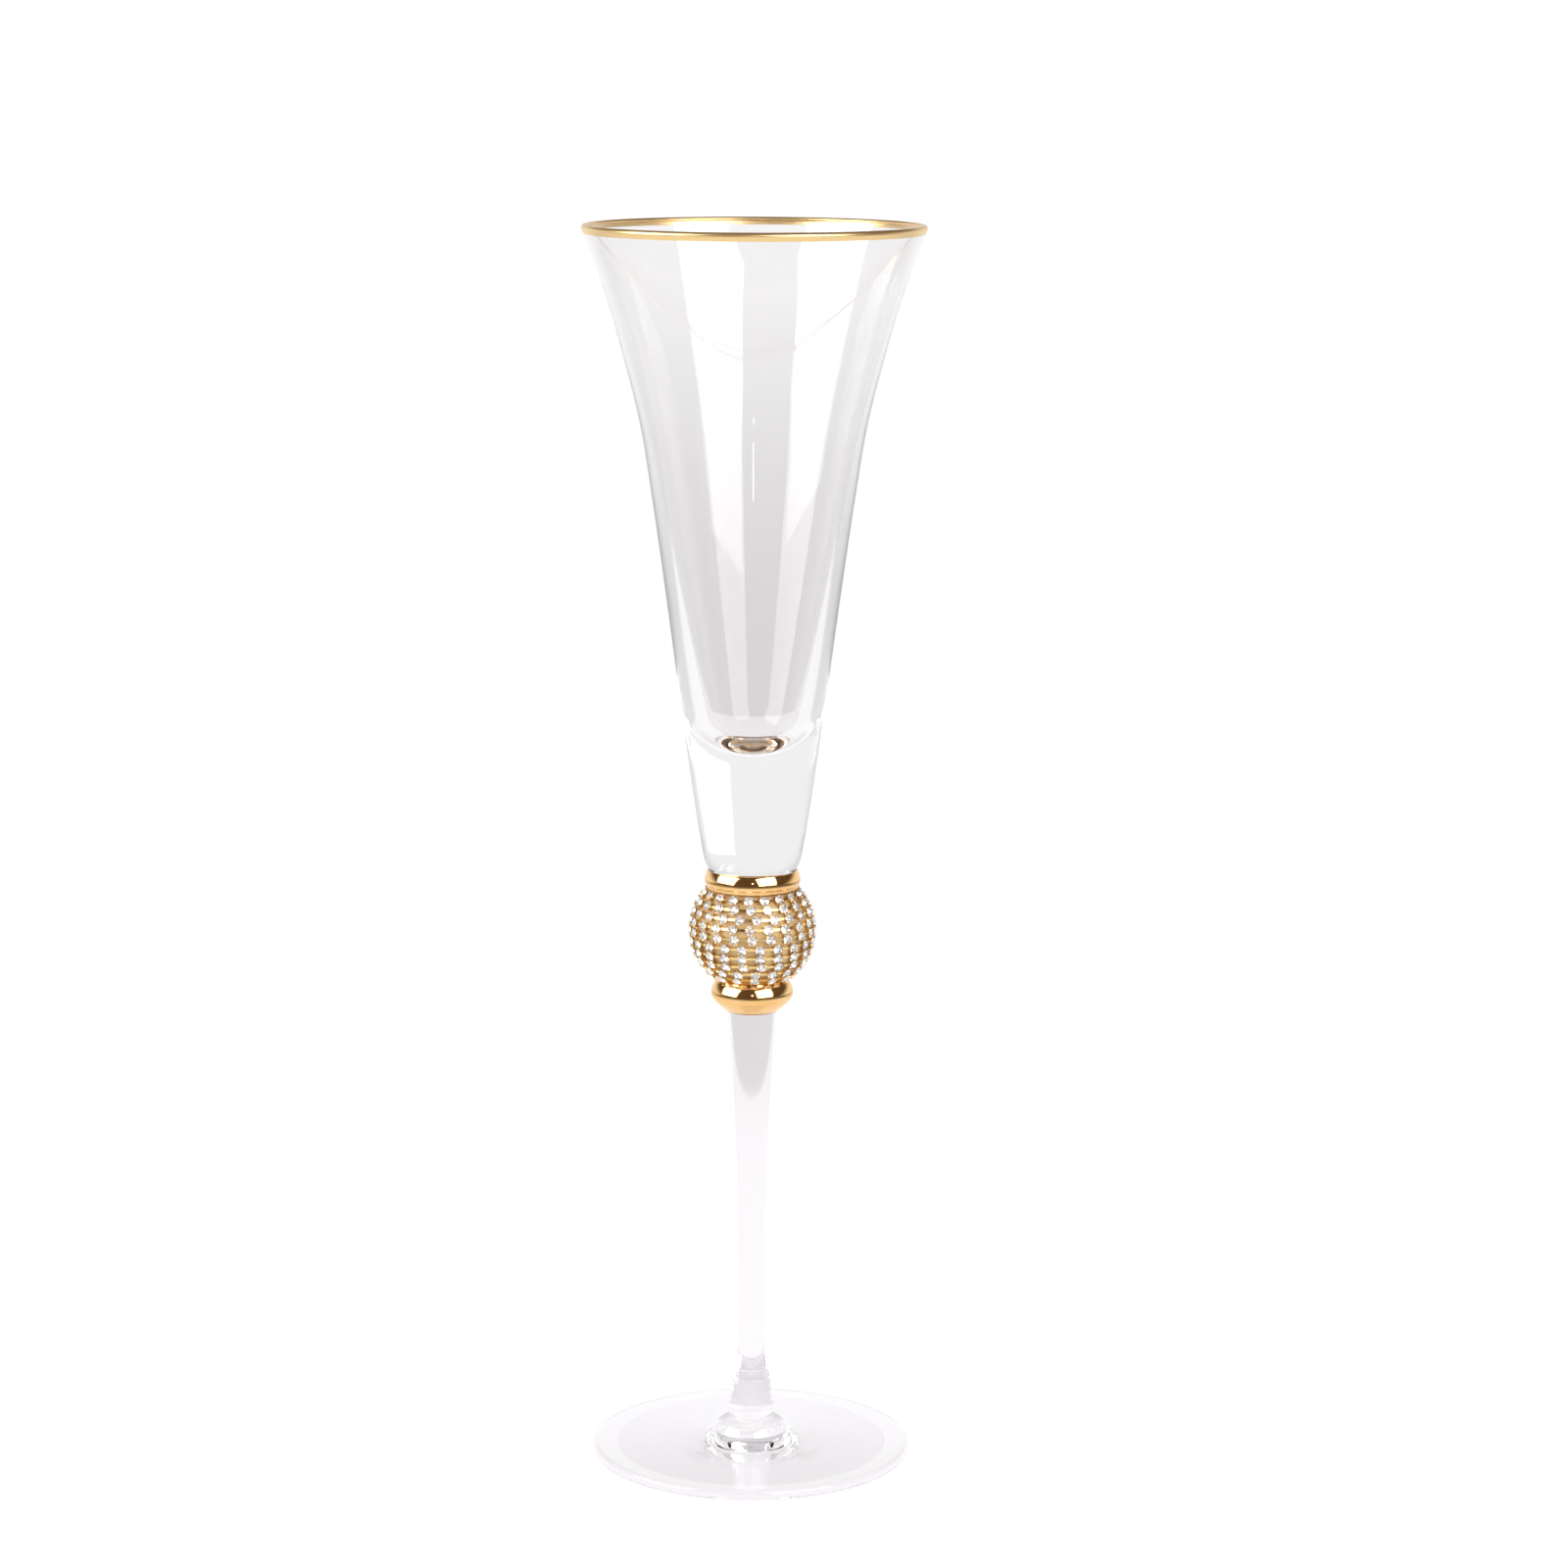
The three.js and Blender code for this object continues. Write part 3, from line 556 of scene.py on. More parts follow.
class FLUTE_OT_stage(Operator):
    """Pale floor, white surroundings, two soft lights and a small lamp near the camera"""

    bl_idname = "flute.stage"
    bl_label = "Stage"

    def execute(self, context):
        scene = context.scene
        reach = 4000.0
        corners = np.array([[-reach, -reach, 0], [reach, -reach, 0], [reach, reach, 0], [-reach, reach, 0]])
        paper, tree, shader, place = blank("paper")
        self.paper_light(tree, shader, place)
        floor = finish_mesh("floor", corners, [np.array([[0, 1, 2, 3]])], [paper], smooth=False)
        self.world(scene)
        softbox("left_softbox", -69, 24, 1.5, 1.4, 1.1, 23)
        softbox("right_softbox", 38, 24, 1.5, 1.25, 1.1, 20)
        softbox("small_lamp", 1, 17, 1.4, 0.05, 0.05, 0.3)
        scene.view_settings.view_transform = "Standard"
        scene.cycles.max_bounces = 24
        scene.cycles.transmission_bounces = 24
        scene.cycles.glossy_bounces = 10
        return {"FINISHED"}

    def paper_light(self, tree, shader, place):
        """White to the camera. Mirrored, it darkens away from the flute but stays white behind it,
        and through glass it has grey steps by its distance behind the flute."""
        path = add(tree, "LightPath", {}).outputs
        behind = add(tree, "SeparateXYZ", {"Vector": place}).outputs["Y"]
        away = add(tree, "VectorMath", {"Vector": place}, operation="LENGTH").outputs["Value"]
        near_flute = spread(tree, away, 0.35, 0.95, (0.95, 0.12), "SMOOTHSTEP")
        backdrop = spread(tree, behind, 0.15, 1.0, curve="SMOOTHSTEP")
        mirrored = mixed(tree, backdrop, near_flute, grey(1))
        share = spread(tree, behind, -1.2, 4.0)
        through = add(tree, "ValToRGB", {"Fac": share})
        stops = through.color_ramp.elements
        stops[0].position, stops[0].color = 0.0, (0.7, 0.69, 0.69, 1)
        stops[1].position, stops[1].color = 1.0, grey(1)
        for position, tone in ((0.2, 0.7), (0.23, 1.0), (0.3092, 1.0), (0.3135, 0.78)):
            stops.new(position).color = grey(tone)
        bent = mixed(tree, path["Is Transmission Ray"], mirrored, through.outputs["Color"])
        seen = mixed(tree, path["Is Camera Ray"], bent, grey(1))
        looks = {"Base Color": grey(0.12), "Roughness": 0.9, "Specular IOR Level": 0.0}
        feed(tree, shader, {**looks, "Emission Color": seen, "Emission Strength": 1.0})

    def world(self, scene):
        """White to the camera and behind the flute. The room in front of it is dark brown where
        metal and glass mirror it, and grey where it is seen through glass."""
        world = bpy.data.worlds.new("studio")
        world.use_nodes = True
        tree = world.node_tree
        path = add(tree, "LightPath", {}).outputs
        place = add(tree, "TexCoord", {}).outputs["Generated"]
        way = add(tree, "SeparateXYZ", {"Vector": place}).outputs
        lowered = add(tree, "Math", {}, operation="MULTIPLY_ADD")
        for slot, source in enumerate((way["Z"], -2.2, way["Y"])):
            feed(tree, lowered, {slot: source})
        depth = spread(tree, lowered.outputs["Value"], -0.35, 0.6, curve="SMOOTHSTEP")
        room = mixed(tree, path["Is Transmission Ray"], (0.12, 0.08, 0.055, 1), (0.68, 0.67, 0.68, 1))
        around = mixed(tree, depth, room, grey(1))
        direct = mixed(tree, path["Is Camera Ray"], around, grey(1.02))
        feed(tree, tree.nodes["Background"], {"Color": direct})
        scene.world = world


class FLUTE_OT_foot(Operator):
    """Round glass foot that rises through a pinched line into the stub"""

    bl_idname = "flute.foot"
    bl_label = "Foot"

    def execute(self, context):
        radius, top = FOOT_HIGH[0], FOOT_HIGH[2]
        base = context.scene.flute_glass.stem_base / MM
        resting = radius - 5.6  # the ring that stands on the table
        shoulder_in, thickness, lowest = 1.0, 2.4, 0.05
        crease = [5.0, 8.3]
        hollow = spline([[0, 1.0], [resting * 0.5, 0.78], [resting - 2, 0.12], [resting, 0]], 26)
        corner = [radius - shoulder_in, thickness]
        bulge = [[radius - 0.7, 0], [radius - 0.2, 0.35], [radius - 0.01, 1.25], [radius - 0.28, 2.05]]
        edge = spline([*bulge, corner], 22)
        boss = [[11.8, 3.82], [9.7, 4.15], [8.6, 4.65], [8.0, 5.65], [7.3, 6.7], [6.3, 7.5], [5.5, 8.0]]
        slope = spline([corner, [radius * 0.75, 2.72], [radius / 2, 3.22], *boss, crease], 80)
        stub = spline([crease, [5.2, 8.75], [5.13, 10.2], [4.85, 13.0], [base + 0.02, top - 0.1]], 30)
        shoulder = [stub[-1], [base, top], [0, top]]
        outline = np.concatenate([hollow, edge, slope[1:], stub[1:], shoulder[1:]])
        rim = radius - shoulder_in - 0.1

        def slot(r, h):
            return 2 if r > rim and h > lowest else int(h > top - 1e-6)

        piece = turned("foot_glass", outline, [foot_glass(), bonded(), edge_glass()], 256, slot)
        fit(piece, "clear_glass", "foot")
        return {"FINISHED"}


class FLUTE_OT_stem(Operator):
    """Drawn glass stem, narrow near the foot and wider towards the collar"""

    bl_idname = "flute.stem"
    bl_label = "Stem"

    def execute(self, context):
        look = context.scene.flute_glass
        low, high, lip = STEM_LOW[2], STEM_HIGH[2], LOWER_LOW[2]
        base, waist, top = look.stem_base / MM, look.waist / MM, look.stem_top / MM
        narrow = low + 20  # the height of the waist
        growth, rise = top - waist, lip - narrow
        slack = 0.02  # keeps the stem clear of the film in the collar
        bell = [[base - 0.03, low + 0.1], [waist + 0.4, low + 6], [waist + 0.05, low + 12]]
        shares = [[0, 0], [0.14, 0.36], [0.52, 0.7]]
        swell = [[waist + out * growth, narrow + up * rise] for out, up in shares]
        side = spline([*bell, *swell, [top - slack, lip]], 150)
        end = eased([[top - slack, lip], [top - slack, high - slack], [0, high - slack]], 0.4)
        start = np.array([[0, low], [base, low], side[0]])
        outline = np.concatenate([start[:-1], side, end[1:]])
        looks = [stem_glass(), bonded()]
        piece = turned("stem_glass", outline, looks, 160, face_slot=lambda r, h: int(h < low + 1e-6))
        fit(piece, "clear_glass", "stem")
        return {"FINISHED"}


class FLUTE_OT_adhesive(Operator):
    """Clear adhesive under the bowl, round the end of the stem, and between stub and stem"""

    bl_idname = "flute.adhesive"
    bl_label = "Adhesive"

    def execute(self, context):
        look = context.scene.flute_glass
        base, plug, top = look.stem_base / MM, look.plug / MM, look.stem_top / MM
        low, high = FOOT_HIGH[2], STEM_LOW[2]
        middle, half = (low + high) / 2, (high - low) / 2 - 1e-6
        disc = [[0, low], [base, low], [base, high], [0, high]]
        looks = [adhesive(), bonded()]
        seam = turned("seam_adhesive", disc, looks, 160, face_slot=lambda r, h: int(abs(h - middle) > half))
        fit(seam, "adhesive", "foot_adhesive")
        slack = 0.02
        bore = top + BORE_GAP - slack
        lip, end = LOWER_LOW[2] + 0.1, STEM_HIGH[2]
        sleeve = [[top, lip], [bore, lip], [bore, end], [top, end]]
        fit(turned("stem_sleeve_adhesive", sleeve, [adhesive()], 128), "adhesive", "stem_adhesive")
        floor, rim_top, bed = GLUE_LOW[2] - slack, GLUE_HIGH[2], BOWL_LOW[2] + BED_LAP
        outer, inner = plug + 0.13, plug - FILM_LAP
        cup = [[0, floor], [outer, floor], [outer, rim_top], [inner, rim_top], [inner, bed], [0, bed]]
        fit(turned("bowl_bed_adhesive", cup, [adhesive()], 160), "adhesive", "bowl_adhesive")
        return {"FINISHED"}


def bowl_outline(look):
    """Outside, lip and cavity of the bowl. The outside is a spline through the trumpet's shares; the
    cavity's side is the outside less a wall that thickens towards the bottom as a power of the
    depth, closed by a ball that touches it."""
    neck_radius, plug, half = look.neck / MM, look.plug / MM, look.lip / MM
    low, collar = BOWL_LOW[2], UPPER_HIGH[2]
    neck, seat = collar + 3.8, collar - 0.6
    centre = np.array([BOWL_HIGH[0] - half, BOWL_HIGH[2] - half])
    flare = math.radians(FLARE)
    foot = centre + half * np.array([math.cos(flare), -math.sin(flare)])
    growth, height = foot[0] - neck_radius, foot[1] - neck
    outside = spline(np.array([neck_radius, neck]) + TRUMPET * [growth, height], 150)
    lip = arc(centre, half, -FLARE, 180 - FLARE, 21)
    start = neck + look.cavity_rise / MM
    heights = np.linspace(lip[-1, 1], start, 110)[1:]
    radii = np.interp(heights, outside[:, 1], outside[:, 0])
    share = np.clip((foot[1] - heights) / (foot[1] - start), 0, 1)
    rim_wall = 2 * half + 0.1
    thickening = 2.4  # power of the depth
    wall = rim_wall + (look.cavity_wall / MM - rim_wall) * share**thickening
    cavity = np.stack([radii - wall, heights], axis=1)
    step = cavity[-1] - cavity[-2]
    lean = math.atan2(step[0], step[1]) if step[1] > 0 else math.atan2(-step[0], -step[1])
    size = cavity[-1, 0] / math.cos(lean)
    middle = cavity[-1, 1] + cavity[-1, 0] * math.tan(lean)
    bottom = arc([0, middle], size, -math.degrees(lean), -90, 40)[1:]
    bottom[-1, 0] = 0
    swell = [[plug + 0.25, collar + 0.3], [plug + 0.6 * (neck_radius - plug), collar + 1.7]]
    shoulder = spline([[plug, seat], *swell, [neck_radius, neck]], 16)
    end = eased([[0, low], [plug, low], [plug, seat]], 0.5)
    return end, shoulder, outside, lip, cavity, bottom


class FLUTE_OT_bowl(Operator):
    """Trumpet bowl, thin at the lip and solid under the cavity"""

    bl_idname = "flute.bowl"
    bl_label = "Bowl"

    def execute(self, context):
        end, shoulder, outside, lip, cavity, bottom = bowl_outline(context.scene.flute_glass)
        outline = np.concatenate([end[:-1], shoulder, outside[1:], lip[1:], cavity, bottom])
        fit(turned("bowl_glass", outline, [bowl_glass()], 256), "clear_glass", "bowl")
        return {"FINISHED"}


class FLUTE_OT_rim(Operator):
    """Fired gold that laps over the lip and down both sides of the glass"""

    bl_idname = "flute.rim"
    bl_label = "Gilded lip"

    def execute(self, context):
        _, _, outside, lip, cavity, _ = bowl_outline(context.scene.flute_glass)
        down = outside[np.hypot(*(outside - lip[0]).T) < GILDING_OUTSIDE]
        inner = cavity[np.hypot(*(cavity - lip[-1]).T) < GILDING_INSIDE]
        glass_side = np.concatenate([down, lip[1:], inner])
        way = np.gradient(glass_side, axis=0)
        normal = np.stack([way[:, 1], -way[:, 0]], axis=1)
        normal /= np.linalg.norm(normal, axis=1)[:, None]
        count = len(glass_side)
        edge = np.minimum(np.arange(count), np.arange(count)[::-1]) / 2.0
        thick = GILDING * np.sqrt(np.clip(edge, 0.0, 1.0))[:, None]
        gold_side = glass_side + normal * (thick + 2 * GILDING_GAP)
        outline = np.concatenate([gold_side, (glass_side + normal * GILDING_GAP)[::-1]])
        fit(turned("rim_gilding", outline, [rim_gold()], 256), "rim_gold", "rim_band")
        return {"FINISHED"}


def bead_belly(radius, widest, top):
    """Bellied side of a bead: an arc of BEAD_CURVE from its widest place up to a height."""
    rise = math.degrees(math.asin((top - widest) / BEAD_CURVE))
    return arc([radius - BEAD_CURVE, widest], BEAD_CURVE, 0, rise, 30)


class FLUTE_OT_upper_collar(Operator):
    """Upper collar: a polished bellied bead over a recessed skirt, and a stepped floor inside"""

    bl_idname = "flute.upper_collar"
    bl_label = "Upper collar"

    def execute(self, context):
        seat, top, base = seat_height(UPPER_SEAT), UPPER_HIGH[2], UPPER_LOW[2]
        plug = context.scene.flute_glass.plug / MM + BORE_GAP
        floor = GLUE_LOW[2]
        skirt, bead, widest = UPPER_SKIRT - 0.02, UPPER_BEAD, seat + 1.7
        shadow = [[bead - 0.24, seat + 0.86], [bead - 0.02, seat + 1.3]]  # underside of the bead
        wall = [[UPPER_SEAT, seat + 0.03], [skirt, seat + 0.02], [skirt, seat + 0.84]]
        under = eased([*wall, *shadow, [bead, widest]], 0.3, 7)
        belly = bead_belly(bead, widest, top - 0.08)
        lip = eased([belly[-1], [plug + 0.1, top - 0.01], [plug, top - 0.05], [plug, floor]], 0.05)
        groove, recess = floor - 0.25, floor - 0.9  # a pressed ring, and the seat of the screw's head
        steps = [[7.6, floor], [7.4, groove], [5.2, groove], [5.0, floor], [2.9, floor], [2.9, recess]]
        hollow = 7.7
        hole = [[SCREW_HOLE, recess], [SCREW_HOLE, base], [hollow, base]]
        inside = eased([[plug, floor], *steps, *hole], 0.06)
        cup = [[hollow, seat_height(hollow) + 0.03]]
        outline = np.concatenate([under[1:], belly[1:], lip[1:-1], inside, cup])

        def slot(r, h):
            return int(r < plug - 0.1 and h < floor + 0.05)

        looks = [polished_gold(), floor_gold()]
        piece = turned("upper_collar_gilt", outline, looks, 224, slot, sharp=50)
        fit(piece, "gold_plate", "upper_collar")
        return {"FINISHED"}


def seat_height(radius, side=1):
    """Height of the ball's surface at a radius, above the centre or below it."""
    return BALL_CENTRE + side * math.sqrt(BALL_RADIUS**2 - radius**2)


class FLUTE_OT_lower_collar(Operator):
    """Lower collar: polished bead over a waisted flare that holds the stem"""

    bl_idname = "flute.lower_collar"
    bl_label = "Lower collar"

    def execute(self, context):
        base, seat, shelf = LOWER_LOW[2], seat_height(LOWER_SEAT, -1), LOWER_HIGH[2]
        bore = context.scene.flute_glass.stem_top / MM + BORE_GAP
        lip, bead = bore + 0.5, LOWER_BEAD
        flare, edge_top, widest = bead - lip, base + 0.14, base + 4.0
        foot = eased([[bore, base], [lip - 0.12, base], [lip, edge_top]], 0.08)
        rise = [[0.16, 0.5], [0.38, 1.12], [0.66, 2.0], [0.89, 2.96]]
        sweep = [[lip + share * flare, base + height] for share, height in rise]
        outside = spline([[lip, edge_top], *sweep, [bead - 0.07, base + 3.55], [bead, widest]], 48)
        belly = bead_belly(bead, widest, seat - 1.2)
        edge = [[LOWER_CROWN, seat - CROWN_DROP], [7.7, seat - 0.12], [LOWER_SEAT, seat - 0.04]]
        crown = eased([belly[-1], *edge], 0.25)
        web, hollow, rest = base + 6.6, 5.8, 6.7
        cup = [[rest, seat_height(rest, -1) - 0.04], [hollow, seat_height(hollow, -1) - 0.04]]
        hole = [[SCREW_HOLE, shelf], [SCREW_HOLE, web]]
        inside = eased([cup[-1], [hollow, shelf], *hole, [bore, web], [bore, base]], 0.08)
        outline = np.concatenate([foot, outside[1:], belly[1:], crown[1:], cup[:1], inside[:-1]])
        looks = [polished_gold(), shaded_edge_gold()]
        # Slot 1 is painted shade: the darker plating covers the bottom 0.3 mm of the collar
        piece = turned("lower_collar_gilt", outline, looks, 224, lambda r, h: int(h < base + 0.3), sharp=50)
        fit(piece, "gold_plate", "lower_collar")
        return {"FINISHED"}


class FLUTE_OT_ball(Operator):
    """Two pressed half shells, lapped at the equator, that the chain is wound on"""

    bl_idname = "flute.ball"
    bl_label = "Ball shells"

    def execute(self, context):
        for side, opening, node in ((1, 7.9, "upper_ball_shell"), (-1, 6.0, "lower_ball_shell")):
            inner = BALL_RADIUS - SHELL_WALL
            lap = BALL_RADIUS - SHELL_WALL / 2 - side * EQUATOR_GAP
            out_pole = math.degrees(math.acos(opening / BALL_RADIUS))
            in_pole = math.degrees(math.acos(opening / inner))
            centre = [0, BALL_CENTRE]
            outside = arc(centre, BALL_RADIUS, 0.09 * side, side * out_pole, 60)
            inside = arc(centre, inner, side * in_pole, 0, 60)
            drop = BALL_CENTRE - EQUATOR_LAP - (2 * EQUATOR_GAP if side < 0 else 0)
            step = [[inner, drop], [lap, drop], [lap, BALL_CENTRE + side * EQUATOR_GAP]]
            outline = np.concatenate([outside, inside[:-1], step])
            fit(turned(node + "_gilt", outline, [satin_gold()], 192), "gold_plate", node)
        return {"FINISHED"}


def stone_mesh(facets, girdle, table, crown, depth, thickness):
    """A brilliant: culet, girdle, a ring of star points and a table, each ring turned half a facet
    from the one below. Gives vertices about the girdle's plane, triangles, and a material number
    for each: 1 on the foiled back."""
    turn = np.arange(facets) * TAU / facets
    half = turn + TAU / facets / 2

    def ring(radius, angle, height):
        return np.stack([radius * np.cos(angle), radius * np.sin(angle), np.full(facets, height)], axis=1)

    rings = [
        ring(girdle * 0.5, half, -depth * 0.55),
        ring(girdle, turn, -thickness),
        ring(girdle, turn, 0.0),
        ring((girdle + table) / 2 * 1.02, half, crown * 0.62),
        ring(table, turn, crown),
    ]
    vertices = np.concatenate([[[0, 0, -depth]], *rings, [[0, 0, crown]]])
    here = np.arange(facets)
    ahead = (here + 1) % facets
    behind = (here - 1) % facets

    def at(level, index):
        return 1 + level * facets + index

    culet, top = np.zeros(facets, int), np.full(facets, len(vertices) - 1)
    foiled = [
        (culet, at(0, ahead), at(0, here)),
        (at(0, behind), at(0, here), at(1, here)),
        (at(0, here), at(1, ahead), at(1, here)),
        (at(1, here), at(1, ahead), at(2, ahead)),
        (at(1, here), at(2, ahead), at(2, here)),
    ]
    clear = [
        (at(2, here), at(2, ahead), at(3, here)),
        (at(3, behind), at(2, here), at(3, here)),
        (at(3, behind), at(3, here), at(4, here)),
        (at(3, here), at(4, ahead), at(4, here)),
        (at(4, here), at(4, ahead), top),
    ]
    faces = np.concatenate([np.stack(corners, 1) for corners in foiled + clear])
    slots = np.repeat([1, 0], [len(foiled) * facets, len(clear) * facets])
    return vertices, faces, slots


def stacked(sides, rings):
    """Triangles of rings of points, one above the other, closed by a fan at each end round the two
    points that follow the last ring."""
    here = np.arange(sides)
    ahead = (here + 1) % sides
    faces = []
    for level in range(rings - 1):
        a, b = level * sides, (level + 1) * sides
        faces.append(np.stack([a + here, a + ahead, b + ahead], 1))
        faces.append(np.stack([a + here, b + ahead, b + here], 1))
    low, last = rings * sides, (rings - 1) * sides
    faces.append(np.stack([np.full(sides, low), ahead, here], 1))
    faces.append(np.stack([np.full(sides, low + 1), last + here, last + ahead], 1))
    return np.concatenate(faces)


def tube_between(start, end, sides, radii):
    """Closed prism along a straight line from start to end, with a radius for each of its rings."""
    start, end = np.array(start, float), np.array(end, float)
    way = end - start
    way /= np.linalg.norm(way)
    helper = np.array([0, 0, 1.0]) if abs(way[2]) < 0.9 else np.array([1.0, 0, 0])
    u = np.cross(way, helper)
    u /= np.linalg.norm(u)
    v = np.cross(way, u)
    turn = np.arange(sides) * TAU / sides + TAU / sides / 2
    circle = np.cos(turn)[:, None] * u + np.sin(turn)[:, None] * v
    shares = np.linspace(0, 1, len(radii))
    rings = [start + (end - start) * s + circle * r for s, r in zip(shares, radii)]
    return np.concatenate([*rings, [start, end]]), stacked(sides, len(radii))


def joined(parts):
    """Several (vertices, triangles) as one pair."""
    shift = np.cumsum([0, *[len(v) for v, _ in parts[:-1]]])
    faces = [f + first for (_, f), first in zip(parts, shift)]
    return np.concatenate([v for v, _ in parts]), np.concatenate(faces)


def cup_mesh(radius, base, height, prong, stone, facets=8):
    """A setting: a tapered cup with a hollow top, and four prongs that stand outside the stone's
    girdle and lean over its crown."""
    turn = np.arange(facets) * TAU / facets + TAU / facets / 2
    mouth, half = radius * 0.97, height * 0.5
    levels = [(base, 0.0), (mouth, half), (mouth - 0.1, half)]
    rings = [np.stack([r * np.cos(turn), r * np.sin(turn), np.full(facets, h)], 1) for r, h in levels]
    vertices = np.concatenate([*rings, [[0, 0, 0], [0, 0, height * 0.02]]])
    parts = [(vertices, stacked(facets, len(levels)))]
    for corner in np.arange(4) * math.pi / 2 + math.pi / 4:
        out = np.array([math.cos(corner), math.sin(corner), 0])
        foot = out * (radius * 0.9) + [0, 0, height * 0.15]
        knee = out * (stone + prong + 0.02) + [0, 0, height * GIRDLE_SHARE]
        tip = out * (stone - 0.12) + [0, 0, height * GIRDLE_SHARE + 0.36]
        parts.append(tube_between(foot, knee, 5, [prong, prong]))
        parts.append(tube_between(knee, tip, 5, [prong, prong * 0.65]))
    return joined(parts)


def placed(vertices, faces, middles, axes, slots=None):
    """Copies of one small mesh: copy k of a vertex is middle k + x across k + y up k + z out k."""
    count = len(middles)
    across, up, out = axes
    world = (
        middles[:, None, :]
        + vertices[None, :, :1] * across[:, None, :]
        + vertices[None, :, 1:2] * up[:, None, :]
        + vertices[None, :, 2:] * out[:, None, :]
    )
    shifted = faces[None] + (np.arange(count) * len(vertices))[:, None, None]
    repeated = None if slots is None else np.tile(slots, count)
    return world.reshape(-1, 3), shifted.reshape(-1, faces.shape[1]), repeated


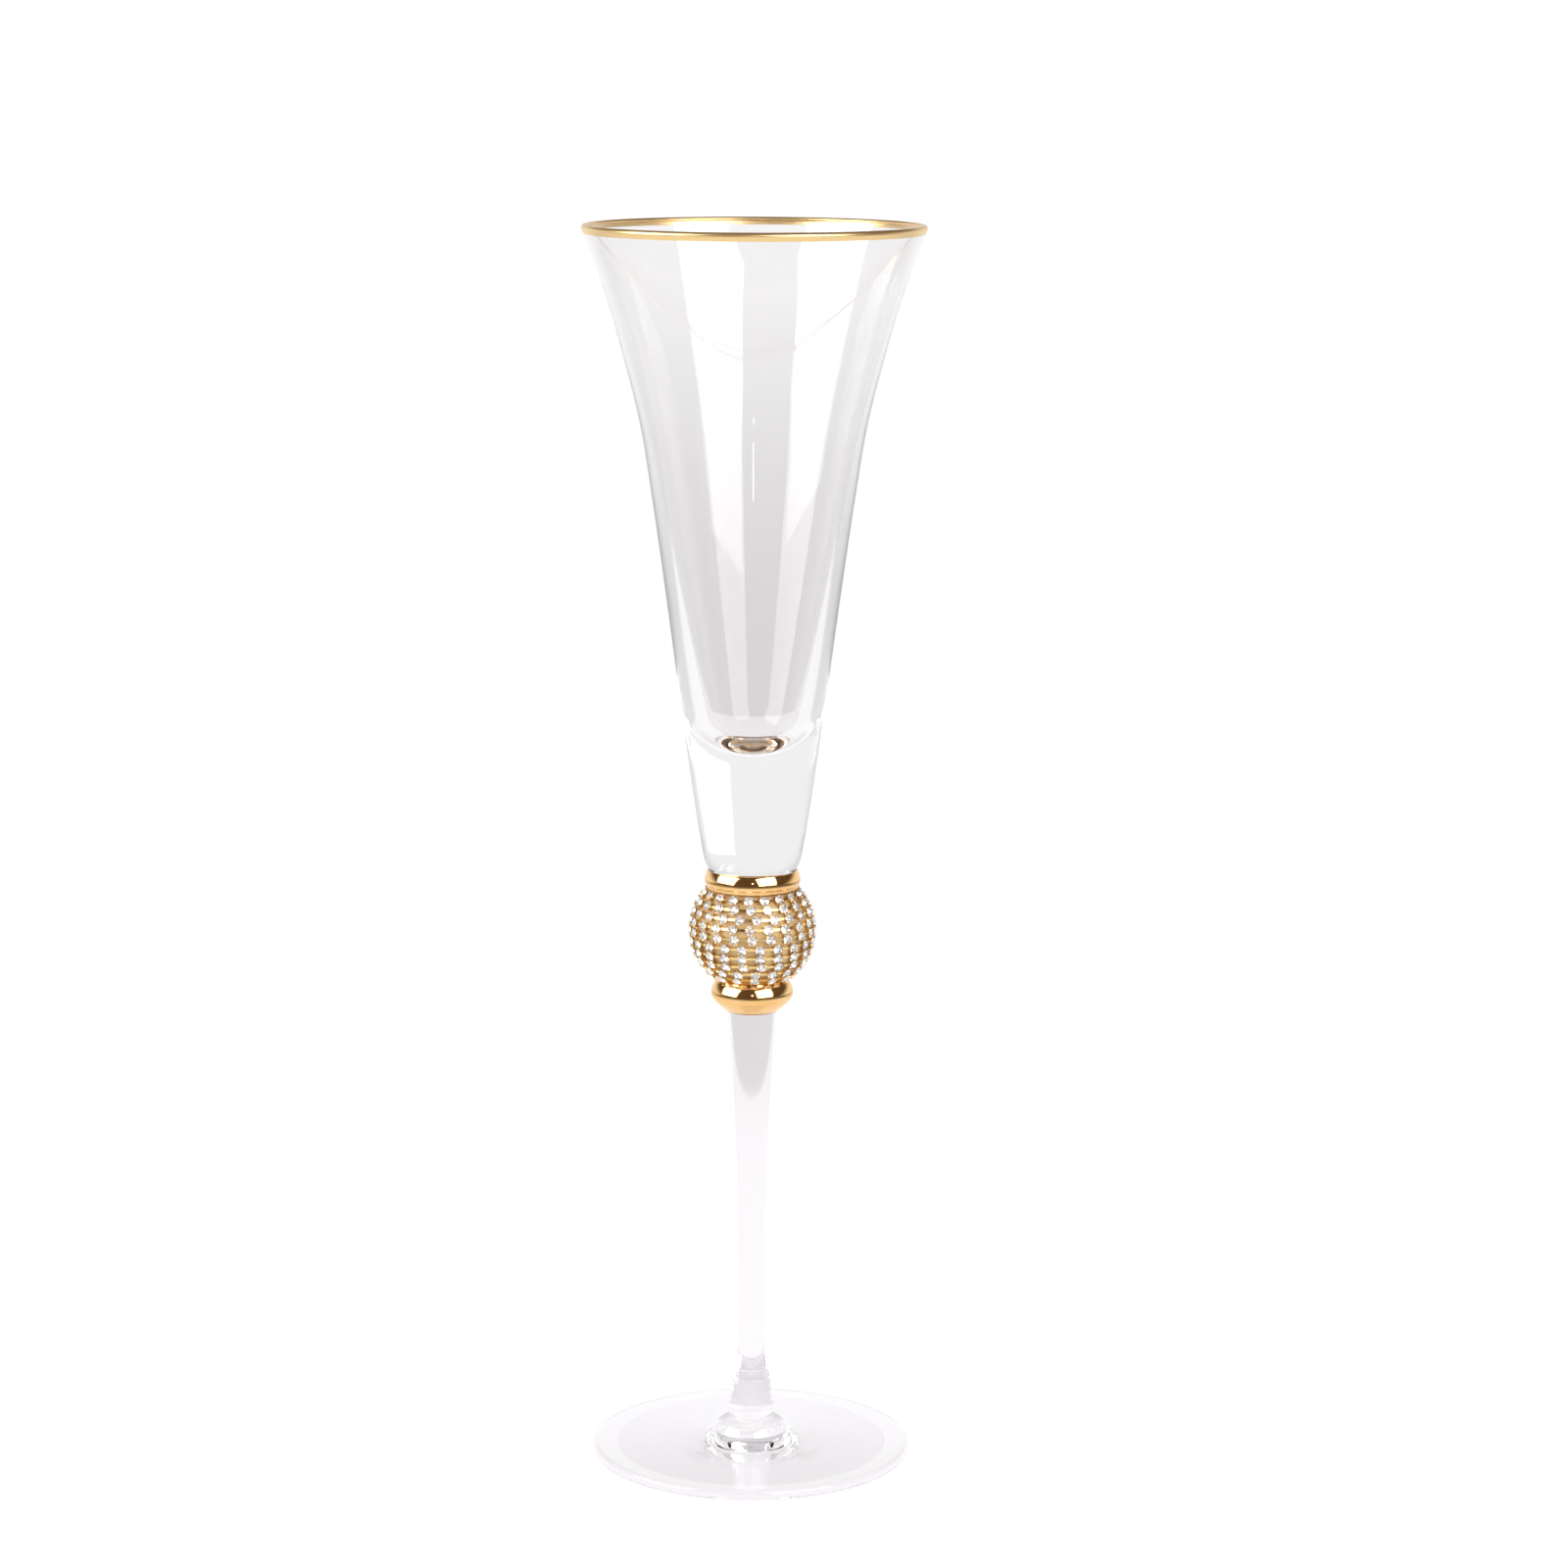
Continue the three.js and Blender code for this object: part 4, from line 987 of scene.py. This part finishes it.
class FLUTE_OT_chain(Operator):
    """Rows of stone chain wound round the ball: cups with prongs, links and cut stones"""

    bl_idname = "flute.chain"
    bl_label = "Stone chain"

    def execute(self, context):
        look = context.scene.flute_stones
        pitch, cup, height = look.pitch / MM, look.cup / MM, look.height / MM
        stone, prong, link = look.stone / MM, look.prong / MM, look.link / MM
        foot, thick = cup * CUP_FOOT, 0.16
        base = BALL_RADIUS + CUP_LIFT
        top, level = base + height, base + height * LINK_SHARE
        first, last = self.end_rows(top)
        step = (first - last) / (len(ROW_NODES) - 1)
        for row, node in enumerate(ROW_NODES):
            latitude = first - row * step
            ring = top * math.cos(latitude)
            stones = round(TAU * ring / pitch) + ROW_EXTRA[row]
            angle = math.radians(ROW_LEAD[row] - 90) + np.arange(stones) * TAU / stones
            half = math.pi / stones
            _, axes = self.axes(angle, latitude)
            centre = np.array([0, 0, BALL_CENTRE])
            seat = centre + axes[2] * (base + 0.03)
            cups = placed(*cup_mesh(cup, foot, height, prong, stone), seat, axes)
            reach = level * math.cos(latitude)
            bar = 2 * reach * math.sin(half) - 2 * cup * CUP_FOOT
            ends, widths, depths = (-bar / 2, bar / 2), (-link / 2, link / 2), (-thick, thick)
            sides = np.array([[x, y, z] for x in ends for y in widths for z in depths])
            along = [[0, 4, 5, 1], [2, 3, 7, 6], [0, 2, 6, 4], [1, 5, 7, 3]]
            box = np.array([[0, 1, 3, 2], [4, 6, 7, 5], *along])
            flat, between = self.axes(angle + half, latitude)
            sag = reach * (1 - math.cos(half))
            bars = placed(sides, box, centre + between[2] * level - flat * sag, between)
            vertices = np.concatenate([cups[0], bars[0]])
            faces = [cups[1], bars[1] + len(cups[0])]
            gold = finish_mesh(node + "_cups", vertices, faces, [cup_gold()], smooth=False)
            fit(gold, "stone_chain", node)
            shape, faces, slots = stone_mesh(look.facets, stone, stone * 0.55, 0.4, 0.78, 0.05)
            girdle = centre + axes[2] * (base + height * GIRDLE_SHARE)
            cut = placed(shape, faces, girdle, axes, slots)
            looks = [stone_glass(), stone_foil()]
            jewels = finish_mesh(node + "_stones", cut[0], [cut[1]], looks, cut[2], smooth=False)
            fit(jewels, "stone_chain")
        return {"FINISHED"}

    def axes(self, angle, latitude):
        """For points at turns along a row: the way out in the level plane, and the axes across the
        row's stones, up the ball and out of it."""
        zero = np.zeros(len(angle))
        flat = np.stack([np.cos(angle), np.sin(angle), zero], 1)
        across = np.stack([-np.sin(angle), np.cos(angle), zero], 1)
        out = flat * math.cos(latitude) + [0, 0, math.sin(latitude)]
        return flat, (across, np.cross(out, across), out)

    def end_rows(self, top):
        """Latitudes of the first and the last row, which stand clear of the two collars."""
        skirt = math.atan2(seat_height(UPPER_SEAT) - BALL_CENTRE, UPPER_SKIRT)
        crown = math.atan2(seat_height(LOWER_SEAT, -1) - CROWN_DROP - BALL_CENTRE, LOWER_CROWN)
        return skirt - (ROW_REACH + UPPER_GAP) / top, crown + (ROW_REACH + LOWER_GAP) / top


class FLUTE_OT_fastening(Operator):
    """Hidden screw, washer and nut that clamp the ball between its collars"""

    bl_idname = "flute.fastening"
    bl_label = "Fastening"

    def execute(self, context):
        for name in ("tie_screw", "tie_washer", "tie_nut"):
            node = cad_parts[name]
            node.data.materials.clear()
            node.data.materials.append(steel())
        return {"FINISHED"}


class FLUTE_PT_panel(Panel):
    """Lists the steps that build the flute, in order"""

    bl_idname = "FLUTE_PT_panel"
    bl_label = "Champagne Flute"
    bl_space_type = "VIEW_3D"
    bl_region_type = "UI"
    bl_category = "Flute"

    def draw(self, context):
        for operator in STEPS:
            self.layout.operator(operator.bl_idname)


STEPS = (
    FLUTE_OT_camera,
    FLUTE_OT_stage,
    FLUTE_OT_foot,
    FLUTE_OT_stem,
    FLUTE_OT_lower_collar,
    FLUTE_OT_fastening,
    FLUTE_OT_ball,
    FLUTE_OT_chain,
    FLUTE_OT_upper_collar,
    FLUTE_OT_adhesive,
    FLUTE_OT_bowl,
    FLUTE_OT_rim,
)
GROUPS = {
    "flute_glass": FluteGlass,
    "flute_metal": FluteMetal,
    "flute_stones": FluteStones,
    "flute_studio": FluteStudio,
}


def register():
    """Registers the settings, the operators and the panel."""
    for name, group in GROUPS.items():
        bpy.utils.register_class(group)
        setattr(bpy.types.Scene, name, PointerProperty(type=group))
    for operator in STEPS:
        bpy.utils.register_class(operator)
    bpy.utils.register_class(FLUTE_PT_panel)


def unregister():
    """Takes everything that register added away again."""
    bpy.utils.unregister_class(FLUTE_PT_panel)
    for operator in reversed(STEPS):
        bpy.utils.unregister_class(operator)
    for name, group in GROUPS.items():
        delattr(bpy.types.Scene, name)
        bpy.utils.unregister_class(group)


def main():
    """Builds every piece in order."""
    register()
    for operator in STEPS:
        prefix, name = operator.bl_idname.split(".")
        getattr(getattr(bpy.ops, prefix), name)()


if __name__ == "__main__":
    main()
